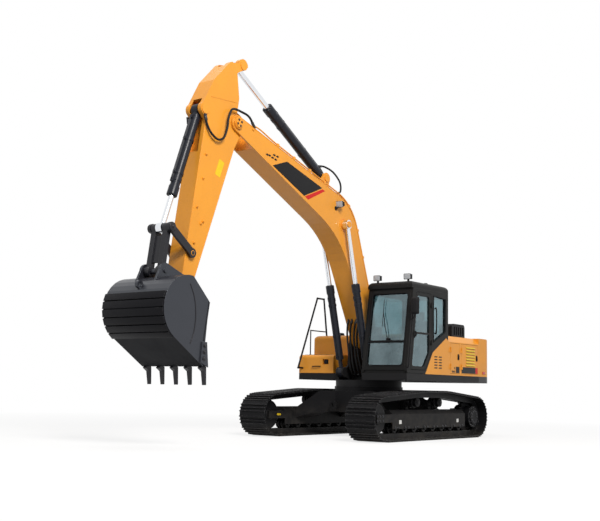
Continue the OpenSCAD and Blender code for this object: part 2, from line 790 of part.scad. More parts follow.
// Place on the sloping front, d behind it, at height z
function slope_x(z, d) = cab_nose + (cab_brow - cab_nose) * (z - cab_sill) / (roof_z - cab_sill) - d;
function nose_x(z, d) = slope_x(max(z, cab_sill), d);
door_x = -30;
door_z = [cab_base + 60, roof_z - 60];
door_outline = [[door_x, door_z[1]], [door_x, 1570], [195, door_z[0]], [nose_x(door_z[0], 110), door_z[0]],
  [nose_x(cab_sill, 110), cab_sill], [nose_x(door_z[1], 110), door_z[1]]];
rear_window = [[cab_rear + 110, 2020], [door_x - 90, 1800], [door_x - 90, door_z[1] - 30],
    [cab_rear + 110, door_z[1] - 60]];
right_window = [[cab_rear + 130, 1900], [nose_x(1900, 150), 1900], [nose_x(door_z[1] - 40, 150),
    door_z[1] - 40], [cab_rear + 130, door_z[1] - 40]];

module cab_left_wall() {
  cowl = concat([[-bay_x - 50, cab_base - 50]], cowl_edge, [[-bay_x - 50, hood_z - shoulder]]);
  color(cab_grey) {
    slab(cab_y1 - cab_wall, cab_y1) difference() {
      polygon(cab_outline);
      polygon(rounded(door_outline, 40));
      polygon(rounded(rear_window, 60));
      polygon(inset(cowl, -4));
    }
    at_cab_hinges() frame_hinge();
  }
}

// Places of the cab door's hinges, on the door's rear edge
module at_cab_hinges() {
  for (z = [1740, 2440]) translate([door_x + door_gap / 2, cab_y1 + hinge_out, z]) children();
}

module cab_door() {
  panel = inset([for (i = [len(door_outline) - 1:-1:0]) door_outline[len(door_outline) - 1 - i]], door_gap);
  color(cab_grey) {
    slab(cab_y1 - cab_wall, cab_y1) difference() {
      polygon(rounded(panel, 36));
      door_window(0);
    }
    at_cab_hinges() door_hinge();
  }
}

// The door's upper and lower window, with a bar between them
door_bar = [1930, 1965];
module door_window(play) {
  pane = inset([door_outline[0], door_outline[1], door_outline[2], [slope_x(door_z[0], 110), door_z[0]],
    door_outline[5]], door_gap + 65);
  difference() {
    polygon(inset(rounded(pane, 40), play));
    translate([-2000, door_bar[0] - play]) square([4000, door_bar[1] - door_bar[0] + 2 * play]);
  }
}

module glass_slab(y) {
  slab(y - glass_t / 2, y + glass_t / 2) children();
}

module door_glass() {
  color(tint) glass_slab(cab_y1 - cab_wall / 2) door_window(fit);
}

module cab_right_wall() {
  color(cab_grey) slab(cab_y0, cab_y0 + cab_wall) difference() {
    polygon(cab_outline);
    polygon(rounded(right_window, 60));
  }
}

// Openings of the windscreen and of the rear window, in Y and Z
screen_y = [cab_y0 + 95, cab_y1 - 95];
screen_z = [cab_sill + 10, roof_z - 95];
screen_bar = [1760, 1800];
rear_z = [1990, roof_z - 110];
function frame_box(y, z) = [[y[0], z[0]], [y[1], z[0]], [y[1], z[1]], [y[0], z[1]]];

module screen_outline(play) {
  difference() {
    polygon(inset(rounded(frame_box(screen_y, screen_z), 60), play));
    translate([0, screen_bar[0] - play]) square([3000, screen_bar[1] - screen_bar[0] + 2 * play]);
  }
}

module rear_outline(play) {
  polygon(inset(rounded(frame_box(screen_y, rear_z), 60), play));
}

// Front of the cab as a sloping sheet between two depths behind its face
module nose_sheet(d0, d1) {
  slab(cab_y0 + cab_wall, cab_y1 - cab_wall) polygon([[nose_x(cab_base, d1), cab_base + 50],
      [cab_nose - d0, cab_base + 50],
    [cab_nose - d0, cab_sill], [nose_x(roof_z, d0), roof_z], [nose_x(roof_z, d1), roof_z],
        [cab_nose - d1, cab_sill]]);
}

module cab_front() {
  color(cab_grey) difference() {
    nose_sheet(0, cab_wall);
    bar(0, 2000) screen_outline(0);
  }
}

module cab_rear_wall() {
  color(cab_grey) bar(cab_rear, cab_rear + cab_wall) difference() {
    polygon(frame_box([cab_y0 + cab_wall, cab_y1 - cab_wall], [cab_base + 50, roof_z]));
    rear_outline(0);
  }
}

module cab_glass() {
  color(tint) {
    intersection() {
      nose_sheet((cab_wall - glass_t) / 2, (cab_wall + glass_t) / 2);
      bar(0, 2000) screen_outline(fit);
    }
    bar(cab_rear + (cab_wall - glass_t) / 2, cab_rear + (cab_wall + glass_t) / 2) rear_outline(fit);
    glass_slab(cab_y0 + cab_wall / 2) polygon(inset(rounded(right_window, 60), fit));
    glass_slab(cab_y1 - cab_wall / 2) polygon(inset(rounded(rear_window, 60), fit));
  }
}

module cab_floor() {
  color(cab_grey) box([cab_rear, cab_nose - 20], [cab_y0 + cab_wall, cab_y1 - cab_wall], [deck_top,
      cab_base + 50]);
}

// Roof with rounded edges: the meeting of a side view and a front view
roof_r = 85;
module cab_roof() {
  brow = cab_brow + 40;
  top = roof_z + roof_h;
  color(cab_grey) intersection() {
    slab(cab_y0, cab_y1) polygon(concat([[cab_rear, roof_z], [brow, roof_z]],
      corner([brow, roof_z], [brow, top], [cab_rear, top], roof_r, 5),
      corner([brow, top], [cab_rear, top], [cab_rear, roof_z], roof_r, 5)));
    bar(cab_rear - 10, brow + 10) polygon(concat([[cab_y0, roof_z], [cab_y1, roof_z]],
      corner([cab_y1, roof_z], [cab_y1, top], [cab_y0, top], roof_r, 5),
      corner([cab_y1, top], [cab_y0, top], [cab_y0, roof_z], roof_r, 5)));
  }
}

seat_x = -150;
seat_y = (cab_y0 + cab_y1) / 2;
module seat() {
  floor_z = cab_base + 50;
  color(black) translate([seat_x, seat_y, 0]) {
    box([-200, 200], [-180, 180], [floor_z, floor_z + 300]);
    slab(-240, 240) polygon(rounded([[-250, floor_z + 300], [270, floor_z + 300], [270, floor_z + 430],
        [-250, floor_z + 400]], 40));
    slab(-230, 230) polygon(rounded([[-240, floor_z + 390], [-90, floor_z + 390], [-170, floor_z + 960],
        [-290, floor_z + 960]], 45));
    slab(-130, 130) polygon(rounded([[-275, floor_z + 950], [-185, floor_z + 950], [-205,
        floor_z + 1150], [-295, floor_z + 1150]], 40));
  }
}

module consoles() {
  floor_z = cab_base + 50;
  color(black) {
    both_consoles() box([seat_x - 150, seat_x + 330], [seat_y + 260, seat_y + 380], [floor_z,
        floor_z + 480]);
    both_consoles() translate([seat_x + 280, seat_y + 320, floor_z + 480]) cylinder(r = 22, h = 160);
    // Travel levers and pedals
    both_consoles() rail([[seat_x + 560, floor_z], [seat_x + 560, floor_z + 60],
      [seat_x + 600, floor_z + 350], [seat_x + 540, floor_z + 620]], seat_y + 90, 14);
    // Monitor on its post by the right front pillar
    box([nose_x(1900, 160), nose_x(1900, 120)], [cab_y0 + cab_wall + 30, cab_y0 + cab_wall + 230], [1880,
        2060]);
    box([nose_x(1900, 150), nose_x(1900, 120)], [cab_y0 + cab_wall, cab_y0 + cab_wall + 60], [1900, 1940]);
  }
}

module both_consoles() {
  children();
  translate([0, 2 * seat_y, 0]) mirror([0, 1, 0]) children();
}

lamp_size = [70, 130, 90];
module lamp_at(p) {
  translate(p) {
    translate([-lamp_size[0] / 2, -lamp_size[1] / 2, 40]) cube(lamp_size);
    translate([-15, -15, 0]) cube([30, 30, 41]);
  }
}

module work_lamps() {
  color(black) {
    for (y = [cab_y0 + 150, cab_y1 - 150]) lamp_at([cab_brow - 70, y, roof_z + roof_h]);
    translate([deck_front_right - 60, -tank_y - 30 - 190, box_top - 140]) rotate([0, 90, 0])
        cylinder(r = 45, h = 50);
  }
}

// Boom

fork = 540;
fork_y = arm_w / 2 + 8;
foot_r = 165;
tip_r = 135;
lug_r = 105;
// How far a boss in a hollow piece stays inside the piece's outline
boss_in = 8;
boom_outline = concat(
  arc([0, 0], foot_r, touch(knee_top, foot_r, 1), touch(knee_low, foot_r, -1) + 360, 8),
  corner([0, -foot_r], knee_low, [boom_len, -tip_r], 1900, 8),
  arc([boom_len, 0], tip_r, touch(knee_low - [boom_len, 0], tip_r, 1) - 360, touch(knee_top - [boom_len,
      0], tip_r, -1), 8),
  corner([boom_len, tip_r], knee_top, [0, foot_r], 950, 8));

module boom() {
  half = boom_w / 2;
  box_end = boom_len - fork;
  color(amber) boom_frame() difference() {
    union() {
      difference() {
        slab(-half, half) polygon(boom_outline);
        slab(plate_t - half, half - plate_t) polygon(inset(boom_outline, plate_t));
      }
      intersection() {
        slab(-half, half) polygon(boom_outline);
        box([box_end - 2 * plate_t, box_end], [-half, half], [-500, 2000]);
      }
      cross([0, 0], foot_r - boss_in, -half, half);
      cross(boom_lug, 120, -half, half);
      both_sides() {
        cross([boom_len, 0], tip_r - boss_in, fork_y, half);
        cross([boom_len, 0], 100, half - 1, half + 30);
        // Pin that the boom cylinder's rod turns on
        cross(boom_lug, 85, half - 1, boom_cyl_y - 45 - run);
        cross(boom_lug, 38, half - 1, boom_cyl_y + 60);
        cross(boom_lug, 60, boom_cyl_y + 45 + run, boom_cyl_y + 60);
        // Lugs of the arm cylinder
        slab(64, 104) union() {
          translate(arm_base) circle(r = lug_r);
          polygon([arm_base + [-260, -260], arm_base + [150, -310], arm_base + [lug_r - 15, 0],
            arm_base + [20 - lug_r, 30]]);
        }
        cross(arm_base, 70, 103, 120);
      }
      cross(arm_base, 40, -104, 104);
    }
    box([box_end, boom_len + 300], [-fork_y, fork_y], [-500, 800]);
    cross([0, 0], pin_r + pin_play, -half - 1, half + 1);
    cross([boom_len, 0], pin_r + pin_play, -half - 40, half + 40);
  }
}

// Cylinders

gland_h = 150;
piston_lip = 13.7;

// Tube from its base eye at the origin along +X: len is to the gland's face, neck to the tube's shoulder
module tube_shape(len, r, rod_r, eye_r, eye_w, hole_r, neck) {
  difference() {
    union() {
      cross([0, 0], eye_r, -eye_w / 2, eye_w / 2);
      rotate([0, 90, 0]) {
        cylinder(r = min(r, eye_w / 2) - 4, h = neck + 10);
        translate([0, 0, neck]) cylinder(r = r, h = len - neck - 10);
        translate([0, 0, len - gland_h]) cylinder(r = r + 10, h = gland_h);
        translate([0, 0, len - 2 * gland_h]) cylinder(r = r + 6, h = 60);
      }
    }
    cross([0, 0], hole_r, -eye_w, eye_w);
    rotate([0, 90, 0]) {
      translate([0, 0, neck + 20]) cylinder(r = rod_r + piston_lip + 0.3, h = len - neck - 20 - 90);
      translate([0, 0, len - 100]) cylinder(r = rod_r + pin_play, h = 101);
    }
  }
}

// Rod along +X with its eye at eye_x and its piston's end at start
module rod_shape(start, eye_x, rod_r, eye_r, eye_w, hole_r) {
  difference() {
    union() {
      translate([start, 0, 0]) rotate([0, 90, 0]) cylinder(r = rod_r, h = eye_x - start - eye_r + 15);
      translate([start, 0, 0]) rotate([0, 90, 0]) cylinder(r = rod_r + piston_lip, h = 70);
      cross([eye_x, 0], eye_r, -eye_w / 2, eye_w / 2);
    }
    cross([eye_x, 0], hole_r, -eye_w / 2 - 1, eye_w / 2 + 1);
  }
}

boom_cyl = [boom_base, on_boom(boom_lug)];
boom_cyl_len = norm(boom_cyl[1] - boom_cyl[0]);
boom_tube_len = 1683;
module boom_tubes() {
  color(charcoal) cylinder_frame(boom_cyl[0], boom_cyl[1]) both_sides() translate([0, boom_cyl_y, 0]) {
    tube_shape(boom_tube_len, boom_tube_r, boom_rod_r, 90, 84, 38, 250);
    // Pin that stays in the eye
    cross([0, 0], 37.8, -43, 43);
  }
}

module boom_rods() {
  color(chrome) cylinder_frame(boom_cyl[0], boom_cyl[1]) both_sides() translate([0, boom_cyl_y, 0])
    rod_shape(boom_tube_len - 430, boom_cyl_len, boom_rod_r, 85, 90, 38 + pin_play);
}

arm_cyl = [on_boom(arm_base), on_arm(arm_eye)];
arm_cyl_len = norm(arm_cyl[1] - arm_cyl[0]);
arm_tube_len = 1920;
module arm_tube() {
  color(charcoal) cylinder_frame(arm_cyl[0], arm_cyl[1])
    tube_shape(arm_tube_len, arm_tube_r, arm_rod_r, 100, 124, 40 + pin_play, 170);
}

module arm_rod() {
  color(chrome) cylinder_frame(arm_cyl[0], arm_cyl[1]) {
    rod_shape(arm_tube_len - 905, arm_cyl_len, arm_rod_r, 95, 116, 38);
    cross([arm_cyl_len, 0], 37.8, -60, 60);
  }
}

bucket_cyl = [on_arm(bucket_base), on_bucket(link_top)];
bucket_cyl_len = norm(bucket_cyl[1] - bucket_cyl[0]);
bucket_tube_len = 1560;
module bucket_tube() {
  color(charcoal) cylinder_frame(bucket_cyl[0], bucket_cyl[1])
    tube_shape(bucket_tube_len, bucket_tube_r, bucket_rod_r, 95, 130, 38 + pin_play, 115);
}

module bucket_rod() {
  color(chrome) cylinder_frame(bucket_cyl[0], bucket_cyl[1]) {
    rod_shape(bucket_tube_len - 1060, bucket_cyl_len, bucket_rod_r, 80, 116, 36);
    cross([bucket_cyl_len, 0], 35.8, -60, 60);
  }
}

// Arm

hub_r = 190;
arm_end_r = 120;
arm_outline = concat(
  [[-800, 300], [-430, 95], [-170, 40]],
  arc([0, 0], hub_r, 200, 285, 5),
  [[420, -125]],
  arc([arm_len, 0], arm_end_r, -95, 78, 6),
  [[330, 655]],
  arc(bucket_base, 110, 40, 130, 5),
  [[-360, 735], [-860, 525]],
  arc(arm_eye, 115, 75, 250, 7));

module arm() {
  half = arm_w / 2;
  color(amber) arm_frame() difference() {
    union() {
      difference() {
        slab(-half, half) polygon(arm_outline);
        slab(plate_t - half, half - plate_t) polygon(inset(arm_outline, plate_t));
      }
      cross([0, 0], hub_r - boss_in, -half, half);
      cross([arm_len, 0], arm_end_r - boss_in, -half, half);
      cross(guide_pin, 75, -half, half);
      both_sides() {
        cross(bucket_base, 90, half - 60, half + 14);
        cross(arm_eye, 80, half - 90, half + 14);
        cross(guide_pin, 60, half - 1, half + 9.5);
      }
      // Walls that close the box at the two forks
      intersection() {
        slab(-half, half) polygon(arm_outline);
        union() {
          box([-790, -770], [-half, half], [-300, 900]);
          translate([bucket_base[0], 0, bucket_base[1]]) rotate([0, 11, 0]) box([-190, 700], [-half,
              half], [-165, -145]);
          translate([bucket_base[0], 0, bucket_base[1]]) rotate([0, 11, 0]) box([-190, -170], [-half,
              half], [-165, 300]);
        }
      }
      cross(bucket_base, 38, -half, half);
      cross(guide_pin, 40, -half - 62, half + 62);
      cross([0, 0], pin_r, -boom_w / 2 - 45, boom_w / 2 + 45);
      both_sides() cross([0, 0], 80, boom_w / 2 + 30 + run, boom_w / 2 + 45);
      cross([arm_len, 0], pin_r, -half - 70, half + 70);
    }
    // Fork for the arm cylinder's rod
    box([-1300, -790], [-75, 75], [-300, 900]);
    // Fork for the bucket cylinder's base
    difference() {
      translate([bucket_base[0], 0, bucket_base[1]]) rotate([0, 11, 0]) box([-170, 700], [-95, 95],
          [-145, 300]);
      cross(bucket_base, 38, -half, half);
    }
  }
}

// Linkage

link_y = half_arm() + 10;
function half_arm() = arm_w / 2;
guide_t = 48;
// A bar with round ends in side view
module link_bar(a, b, ra, rb, half) {
  u = unit(b - a);
  w = left_of(u);
  translate(a) circle(r = ra);
  translate(b) circle(r = rb);
  polygon([a + w * half, a - w * half, b - w * half, b + w * half]);
}

module guide_links() {
  a = on_arm(guide_pin);
  b = on_bucket(link_top);
  color(black) difference() {
    both_sides() slab(link_y, link_y + guide_t) link_bar(a, b, 75, 75, 60);
    cross(a, 40 + pin_play, -link_y - guide_t - 1, link_y + guide_t + 1);
  }
}

module bucket_link() {
  a = on_bucket(link_top);
  b = on_bucket(link_low);
  side = [70, link_y - 8];
  color(black) difference() {
    both_sides() slab(side[0], side[1]) link_bar(a, b, 68, 80, 40);
    cross(b, 40 + pin_play, -link_y, link_y);
  }
  // Web between the two cheeks
  color(black) translate([a[0], 0, a[1]]) rotate([0, -atan2(b[1] - a[1], b[0] - a[0]), 0])
    box([130, norm(b - a) - 130], [-side[0] - 1, side[0] + 1], [-20, 20]);
}

// Bucket

lip_dir = let (d = roll_c - lip, a = atan2(d[1], d[0]) - asin(bucket_r / norm(d))) [cos(a), sin(a)];
lip_angle = atan2(lip_dir[1], lip_dir[0]);
roll_end = roll_c + bucket_r * [cos(100), sin(100)];
roll_a1 = atan2(roll_end[1] - roll_c[1], roll_end[0] - roll_c[0]);
shell_curve = concat([lip], arc(roll_c, bucket_r, lip_angle - 90, roll_a1, 14));
// Inside of the shell, t from its outer face, running on past the open mouth
lip_in = [-lip_dir[1], lip_dir[0]];
top_dir = unit(mouth - roll_end);
function shell_inside(t) = concat([lip + t * lip_in - 400 * lip_dir],
  arc(roll_c, bucket_r - t, lip_angle - 90, roll_a1, 14), [mouth + t * left_of(top_dir) + 400 * top_dir]);
ear_y = [link_y + 2, link_y + 42];
ear_r = 125;
// Lifting eye: angle on the rolled back, height of its hole over the back, and outer radius
lift_angle = 42;
lift_out = 32;
lift_eye_r = 60;

module bucket() {
  half = bucket_w / 2;
  eye = roll_c + (bucket_r + lift_out) * [cos(lift_angle), sin(lift_angle)];
  color(black) bucket_frame() difference() {
    union() {
      difference() {
        slab(-half, half) polygon(concat(shell_curve, [mouth]));
        slab(bucket_t - half, half - bucket_t) polygon(shell_inside(bucket_t));
      }
      both_sides() {
        // Ears
        slab(ear_y[0], ear_y[1]) difference() {
          union() {
            circle(r = ear_r);
            translate(link_low) circle(r = ear_r - 10);
            polygon([[-105, -65], [-25, -240], [60, -190], [720, -30], link_low + [110, 20],
                link_low + [-30, 110], [20, ear_r - 1]]);
          }
          polygon(shell_inside(bucket_t / 2));
        }
        // Side cutters
        slab(half - 1, half + 20) polygon([[-20, -1230], [150, -1160], [120, -860], [20, -860]]);
      }
      // Pin of the bucket link
      cross(link_low, 40, -ear_y[1] - 20, ear_y[1] + 20);
      // Wear strips on the back
      intersection() {
        slab(-half + 60, half - 60) polygon(concat([lip], arc(roll_c, bucket_r + strip_t, -60, 60, 12),
            [roll_c]));
        union() {
          for (a = [-44, -22, 0, 22]) translate([roll_c[0], 0, roll_c[1]]) rotate([0, -a, 0])
              box([bucket_r - 5, bucket_r + 60], [-half, half], [-35, 35]);
        }
      }
      // Lifting eye
      slab(-25, 25) difference() {
        translate(eye) circle(r = lift_eye_r);
        polygon(shell_inside(bucket_t / 2));
      }
    }
    cross([0, 0], pin_r + pin_play, -ear_y[1] - 1, ear_y[1] + 1);
    cross(eye, lift_r, -30, 30);
  }
}

module bucket_teeth() {
  half = bucket_w / 2;
  d = -lip_dir;
  n = [-lip_dir[1], lip_dir[0]];
  top = lip + n * bucket_t;
  color(black) bucket_frame() for (i = [0:tooth_n - 1])
    translate([0, (i / (tooth_n - 1) - 0.5) * (bucket_w - 2 * bucket_t - 72), 0]) slab(-35, 35)
      polygon([top + n * fit - d * 150, top + n * 50 - d * 130, lip + d * 90 + n * 50, tooth_tip + [-8,
          6], tooth_tip + [8, 0],
        lip + d * 90 - n * 25, lip + d * fit - n * 25, lip + d * fit + n * (bucket_t + fit)]);
}

in_place() car_body();
in_place() swing_ring();
in_place() track_frame_left();
in_place() track_frame_right();
in_place() track_left();
in_place() track_right();
in_place() idlers();
in_place() sprockets();
in_place() track_rollers();
in_place() carrier_rollers();
in_place() revolving_frame();
in_place() counterweight();
in_place() engine();
in_place() engine_housing();
in_place() side_cowl();
in_place() fuel_tank();
in_place() toolbox();
in_place() handrail();
in_place() hood_vent();
in_place() cab_floor();
in_place() cab_front();
in_place() cab_left_wall();
in_place() cab_right_wall();
in_place() cab_rear_wall();
in_place() cab_roof();
in_place() cab_glass();
in_place() seat();
in_place() consoles();
in_place() work_lamps();
in_place() cab_door();
in_place() door_glass();
in_place() left_door_front();
in_place() left_door_rear();
in_place() right_door();
in_place() engine_hood();
in_place() boom();
in_place() boom_rods();
in_place() boom_tubes();
in_place() arm();
in_place() arm_tube();
in_place() arm_rod();
in_place() bucket_tube();
in_place() bucket_rod();
in_place() guide_links();
in_place() bucket_link();
in_place() bucket();
in_place() bucket_teeth();
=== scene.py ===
"""Looks of the crawler excavator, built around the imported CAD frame."""

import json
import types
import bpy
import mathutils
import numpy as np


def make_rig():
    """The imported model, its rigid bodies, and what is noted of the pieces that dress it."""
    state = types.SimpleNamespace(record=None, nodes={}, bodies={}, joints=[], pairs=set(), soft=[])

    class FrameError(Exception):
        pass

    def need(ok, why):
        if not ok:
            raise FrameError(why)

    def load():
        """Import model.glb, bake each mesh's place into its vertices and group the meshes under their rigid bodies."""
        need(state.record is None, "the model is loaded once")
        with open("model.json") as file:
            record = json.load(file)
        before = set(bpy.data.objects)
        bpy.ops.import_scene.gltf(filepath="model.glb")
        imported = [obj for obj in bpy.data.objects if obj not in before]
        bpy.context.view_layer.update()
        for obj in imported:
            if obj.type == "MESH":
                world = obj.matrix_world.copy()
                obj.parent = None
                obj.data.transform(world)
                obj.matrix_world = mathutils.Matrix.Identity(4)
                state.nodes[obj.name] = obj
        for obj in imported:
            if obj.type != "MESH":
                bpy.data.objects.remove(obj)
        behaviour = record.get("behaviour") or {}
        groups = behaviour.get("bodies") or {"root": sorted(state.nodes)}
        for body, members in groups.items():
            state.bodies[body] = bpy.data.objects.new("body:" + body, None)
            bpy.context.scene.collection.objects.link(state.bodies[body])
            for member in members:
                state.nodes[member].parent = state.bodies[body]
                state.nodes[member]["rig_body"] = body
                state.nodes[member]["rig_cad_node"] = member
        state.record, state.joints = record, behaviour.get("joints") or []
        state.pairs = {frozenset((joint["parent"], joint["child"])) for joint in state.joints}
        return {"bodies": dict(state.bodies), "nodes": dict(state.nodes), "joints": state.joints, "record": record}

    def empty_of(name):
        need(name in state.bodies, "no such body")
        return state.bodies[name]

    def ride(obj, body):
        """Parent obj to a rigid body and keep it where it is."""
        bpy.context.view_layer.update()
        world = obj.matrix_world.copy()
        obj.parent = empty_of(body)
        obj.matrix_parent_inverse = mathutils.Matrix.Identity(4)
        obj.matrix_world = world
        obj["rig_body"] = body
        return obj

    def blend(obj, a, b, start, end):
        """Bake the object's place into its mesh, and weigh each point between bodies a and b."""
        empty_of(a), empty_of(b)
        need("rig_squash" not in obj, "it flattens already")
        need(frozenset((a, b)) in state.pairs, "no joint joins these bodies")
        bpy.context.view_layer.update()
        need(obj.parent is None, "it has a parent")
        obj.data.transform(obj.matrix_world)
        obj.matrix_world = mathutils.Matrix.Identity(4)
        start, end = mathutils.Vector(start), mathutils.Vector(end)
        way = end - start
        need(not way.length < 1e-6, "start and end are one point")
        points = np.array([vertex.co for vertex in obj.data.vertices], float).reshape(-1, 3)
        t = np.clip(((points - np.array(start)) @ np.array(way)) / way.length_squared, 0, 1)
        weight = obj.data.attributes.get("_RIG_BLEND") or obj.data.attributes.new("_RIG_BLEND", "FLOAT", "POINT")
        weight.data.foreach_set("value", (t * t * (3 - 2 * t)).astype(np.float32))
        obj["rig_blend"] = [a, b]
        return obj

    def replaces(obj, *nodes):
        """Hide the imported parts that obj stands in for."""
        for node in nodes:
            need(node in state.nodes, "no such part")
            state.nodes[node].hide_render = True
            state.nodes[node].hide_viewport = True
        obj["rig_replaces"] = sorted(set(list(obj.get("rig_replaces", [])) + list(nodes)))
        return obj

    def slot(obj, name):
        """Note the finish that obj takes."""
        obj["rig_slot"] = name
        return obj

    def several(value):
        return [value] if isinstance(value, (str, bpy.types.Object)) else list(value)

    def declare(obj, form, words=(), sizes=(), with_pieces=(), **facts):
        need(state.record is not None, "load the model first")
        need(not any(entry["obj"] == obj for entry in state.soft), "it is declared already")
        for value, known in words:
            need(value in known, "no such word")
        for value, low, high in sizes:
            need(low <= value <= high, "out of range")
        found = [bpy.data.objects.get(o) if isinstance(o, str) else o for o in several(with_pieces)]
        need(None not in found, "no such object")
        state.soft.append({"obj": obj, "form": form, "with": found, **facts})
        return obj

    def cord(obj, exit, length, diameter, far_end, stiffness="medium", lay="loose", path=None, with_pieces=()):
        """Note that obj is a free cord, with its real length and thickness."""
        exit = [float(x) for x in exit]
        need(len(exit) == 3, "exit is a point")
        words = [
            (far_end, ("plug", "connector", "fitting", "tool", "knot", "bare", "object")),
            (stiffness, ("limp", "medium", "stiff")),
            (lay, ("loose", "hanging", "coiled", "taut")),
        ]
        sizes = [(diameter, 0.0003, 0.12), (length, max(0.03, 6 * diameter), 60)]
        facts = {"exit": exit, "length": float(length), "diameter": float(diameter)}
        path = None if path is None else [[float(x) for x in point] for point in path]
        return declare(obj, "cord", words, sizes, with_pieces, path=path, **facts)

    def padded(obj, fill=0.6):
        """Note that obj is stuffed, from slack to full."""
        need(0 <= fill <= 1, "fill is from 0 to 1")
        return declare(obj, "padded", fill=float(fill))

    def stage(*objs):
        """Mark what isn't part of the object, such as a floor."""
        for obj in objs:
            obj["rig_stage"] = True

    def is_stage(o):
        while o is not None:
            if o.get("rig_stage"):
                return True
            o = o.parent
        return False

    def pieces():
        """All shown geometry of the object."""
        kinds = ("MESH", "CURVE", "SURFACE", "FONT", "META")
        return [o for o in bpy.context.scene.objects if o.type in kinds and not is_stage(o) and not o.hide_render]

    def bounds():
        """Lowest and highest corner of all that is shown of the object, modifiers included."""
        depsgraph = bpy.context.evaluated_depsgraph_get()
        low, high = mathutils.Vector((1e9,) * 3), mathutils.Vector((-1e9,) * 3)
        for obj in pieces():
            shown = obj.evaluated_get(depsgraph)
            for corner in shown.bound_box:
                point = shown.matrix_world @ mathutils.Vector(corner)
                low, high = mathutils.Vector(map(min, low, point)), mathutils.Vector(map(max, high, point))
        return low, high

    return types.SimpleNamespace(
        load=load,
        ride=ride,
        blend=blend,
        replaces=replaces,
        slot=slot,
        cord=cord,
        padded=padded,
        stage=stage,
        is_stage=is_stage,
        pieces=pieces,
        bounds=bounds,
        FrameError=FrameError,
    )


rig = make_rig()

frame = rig.load()

import json
import math

import bmesh
import bpy
from mathutils import Matrix, Vector

CAD_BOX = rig.bounds()
NODES = frame["nodes"]
RECORD = frame["record"]
JOINTS = {j["name"]: j for j in frame["joints"]}
# Distance from the swing axis to the origin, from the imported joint
MID = -JOINTS["swing"]["pos_m"][0]


def at(x, y, z):
    """A point given in millimetres from the swing axis, as a place in the frame."""
    return Vector((x / 1000 - MID, y / 1000, z / 1000))


def new_object(name, data):
    """Object with its data, in the scene."""
    o = bpy.data.objects.new(name, data)
    bpy.context.scene.collection.objects.link(o)
    return o


def new_mesh(name, bm):
    """Mesh from a bmesh, which is used up."""
    mesh = bpy.data.meshes.new(name)
    bm.to_mesh(mesh)
    bm.free()
    return mesh


# Camera

CAMERA_AT = Vector((15.96 - MID, 10.37, 0.88))
YAW, PITCH, ROLL = map(math.radians, (217.19, 7.57, 1.15))
LENS = 58.0


def make_camera():
    """The photograph's camera."""
    forward = Vector((math.cos(YAW) * math.cos(PITCH), math.sin(YAW) * math.cos(PITCH), math.sin(PITCH)))
    right = Vector((math.sin(YAW), -math.cos(YAW), 0))
    up = right.cross(forward)
    right, up = right * math.cos(ROLL) + up * math.sin(ROLL), up * math.cos(ROLL) - right * math.sin(ROLL)
    data = bpy.data.cameras.new("camera")
    data.lens, data.sensor_width = LENS, 36
    data.clip_start, data.clip_end = 0.1, 200
    cam = new_object("camera", data)
    m = Matrix((right, up, -forward)).transposed().to_4x4()
    m.translation = CAMERA_AT
    cam.matrix_world = m
    bpy.context.scene.camera = cam


make_camera()


# Materials

MATERIALS = {}


class Nodes:
    """Small helper that makes and links shader nodes."""

    def __init__(self, name, kind="Material"):
        kept = bpy.data.materials if kind == "Material" else bpy.data.worlds
        self.owner = kept.new(name)
        self.owner.use_nodes = True
        self.tree = self.owner.node_tree
        self.tree.nodes.clear()
        self.out = self.tree.nodes.new("ShaderNodeOutput" + kind)

    def add(self, kind, props=None, **inputs):
        n = self.tree.nodes.new("ShaderNode" + kind)
        for k, v in (props or {}).items():
            setattr(n, k, v)
        for k, v in inputs.items():
            self.set(n.inputs[k.replace("_", " ")], v)
        return n

    def set(self, socket, v):
        if isinstance(v, bpy.types.NodeSocket):
            self.tree.links.new(v, socket)
        elif socket.type == "RGBA" and len(v) == 3:
            socket.default_value = (*v, 1)
        else:
            socket.default_value = v

    def feed(self, node, *values):
        """Sets a node's first inputs in turn, and gives the node."""
        for socket, v in zip(node.inputs, values):
            self.set(socket, v)
        return node

    def noise(self, scale, detail=4.0, rough=0.55, vector=None):
        n = self.add("TexNoise", Scale=scale, Detail=detail, Roughness=rough)
        self.set(n.inputs["Vector"], vector or self.place())
        return n.outputs["Fac"]

    def place(self):
        """The object's own coordinates."""
        if not hasattr(self, "coord"):
            self.coord = self.add("TexCoord").outputs["Object"]
        return self.coord

    def span(self, value, a, b, c=0.0, d=1.0):
        """A value mapped from a to b onto c to d, and clamped."""
        return self.feed(self.add("MapRange", {"clamp": True}), value, a, b, c, d).outputs[0]

    def math(self, op, a, b=0.0):
        return self.feed(self.add("Math", {"operation": op}), a, b).outputs[0]

    def mix(self, fac, a, b):
        n = self.add("Mix", {"data_type": "RGBA"})
        for i, v in ((0, fac), (6, a), (7, b)):
            self.set(n.inputs[i], v)
        return n.outputs[2]

    def blend(self, share, a, b):
        """One shader and a share of another."""
        return self.feed(self.add("MixShader"), share, a.outputs[0], b.outputs[0]).outputs[0]

    def edge(self, radius):
        """Rounded normal, and a mask that is high along sharp edges."""
        bevel = self.add("Bevel", {"samples": 4}, Radius=radius).outputs[0]
        flat = self.add("NewGeometry").outputs["Normal"]
        dot = self.feed(self.add("VectorMath", {"operation": "DOT_PRODUCT"}), bevel, flat)
        return bevel, self.span(dot.outputs["Value"], 0.995, 0.86)

    def background_rays(self):
        """One for rays that show the background, which is whiter than the light that it gives."""
        rays = self.add("LightPath").outputs
        shown = self.math("ADD", rays["Is Camera Ray"], rays["Is Glossy Ray"])
        return self.math("MINIMUM", self.math("ADD", shown, rays["Is Transmission Ray"]), 1.0)

    def finish(self, shader):
        self.tree.links.new(shader, self.out.inputs["Surface"])
        return self.owner


def scaled(c, k):
    """A colour made darker or lighter."""
    return tuple(min(1.0, v * k) for v in c)


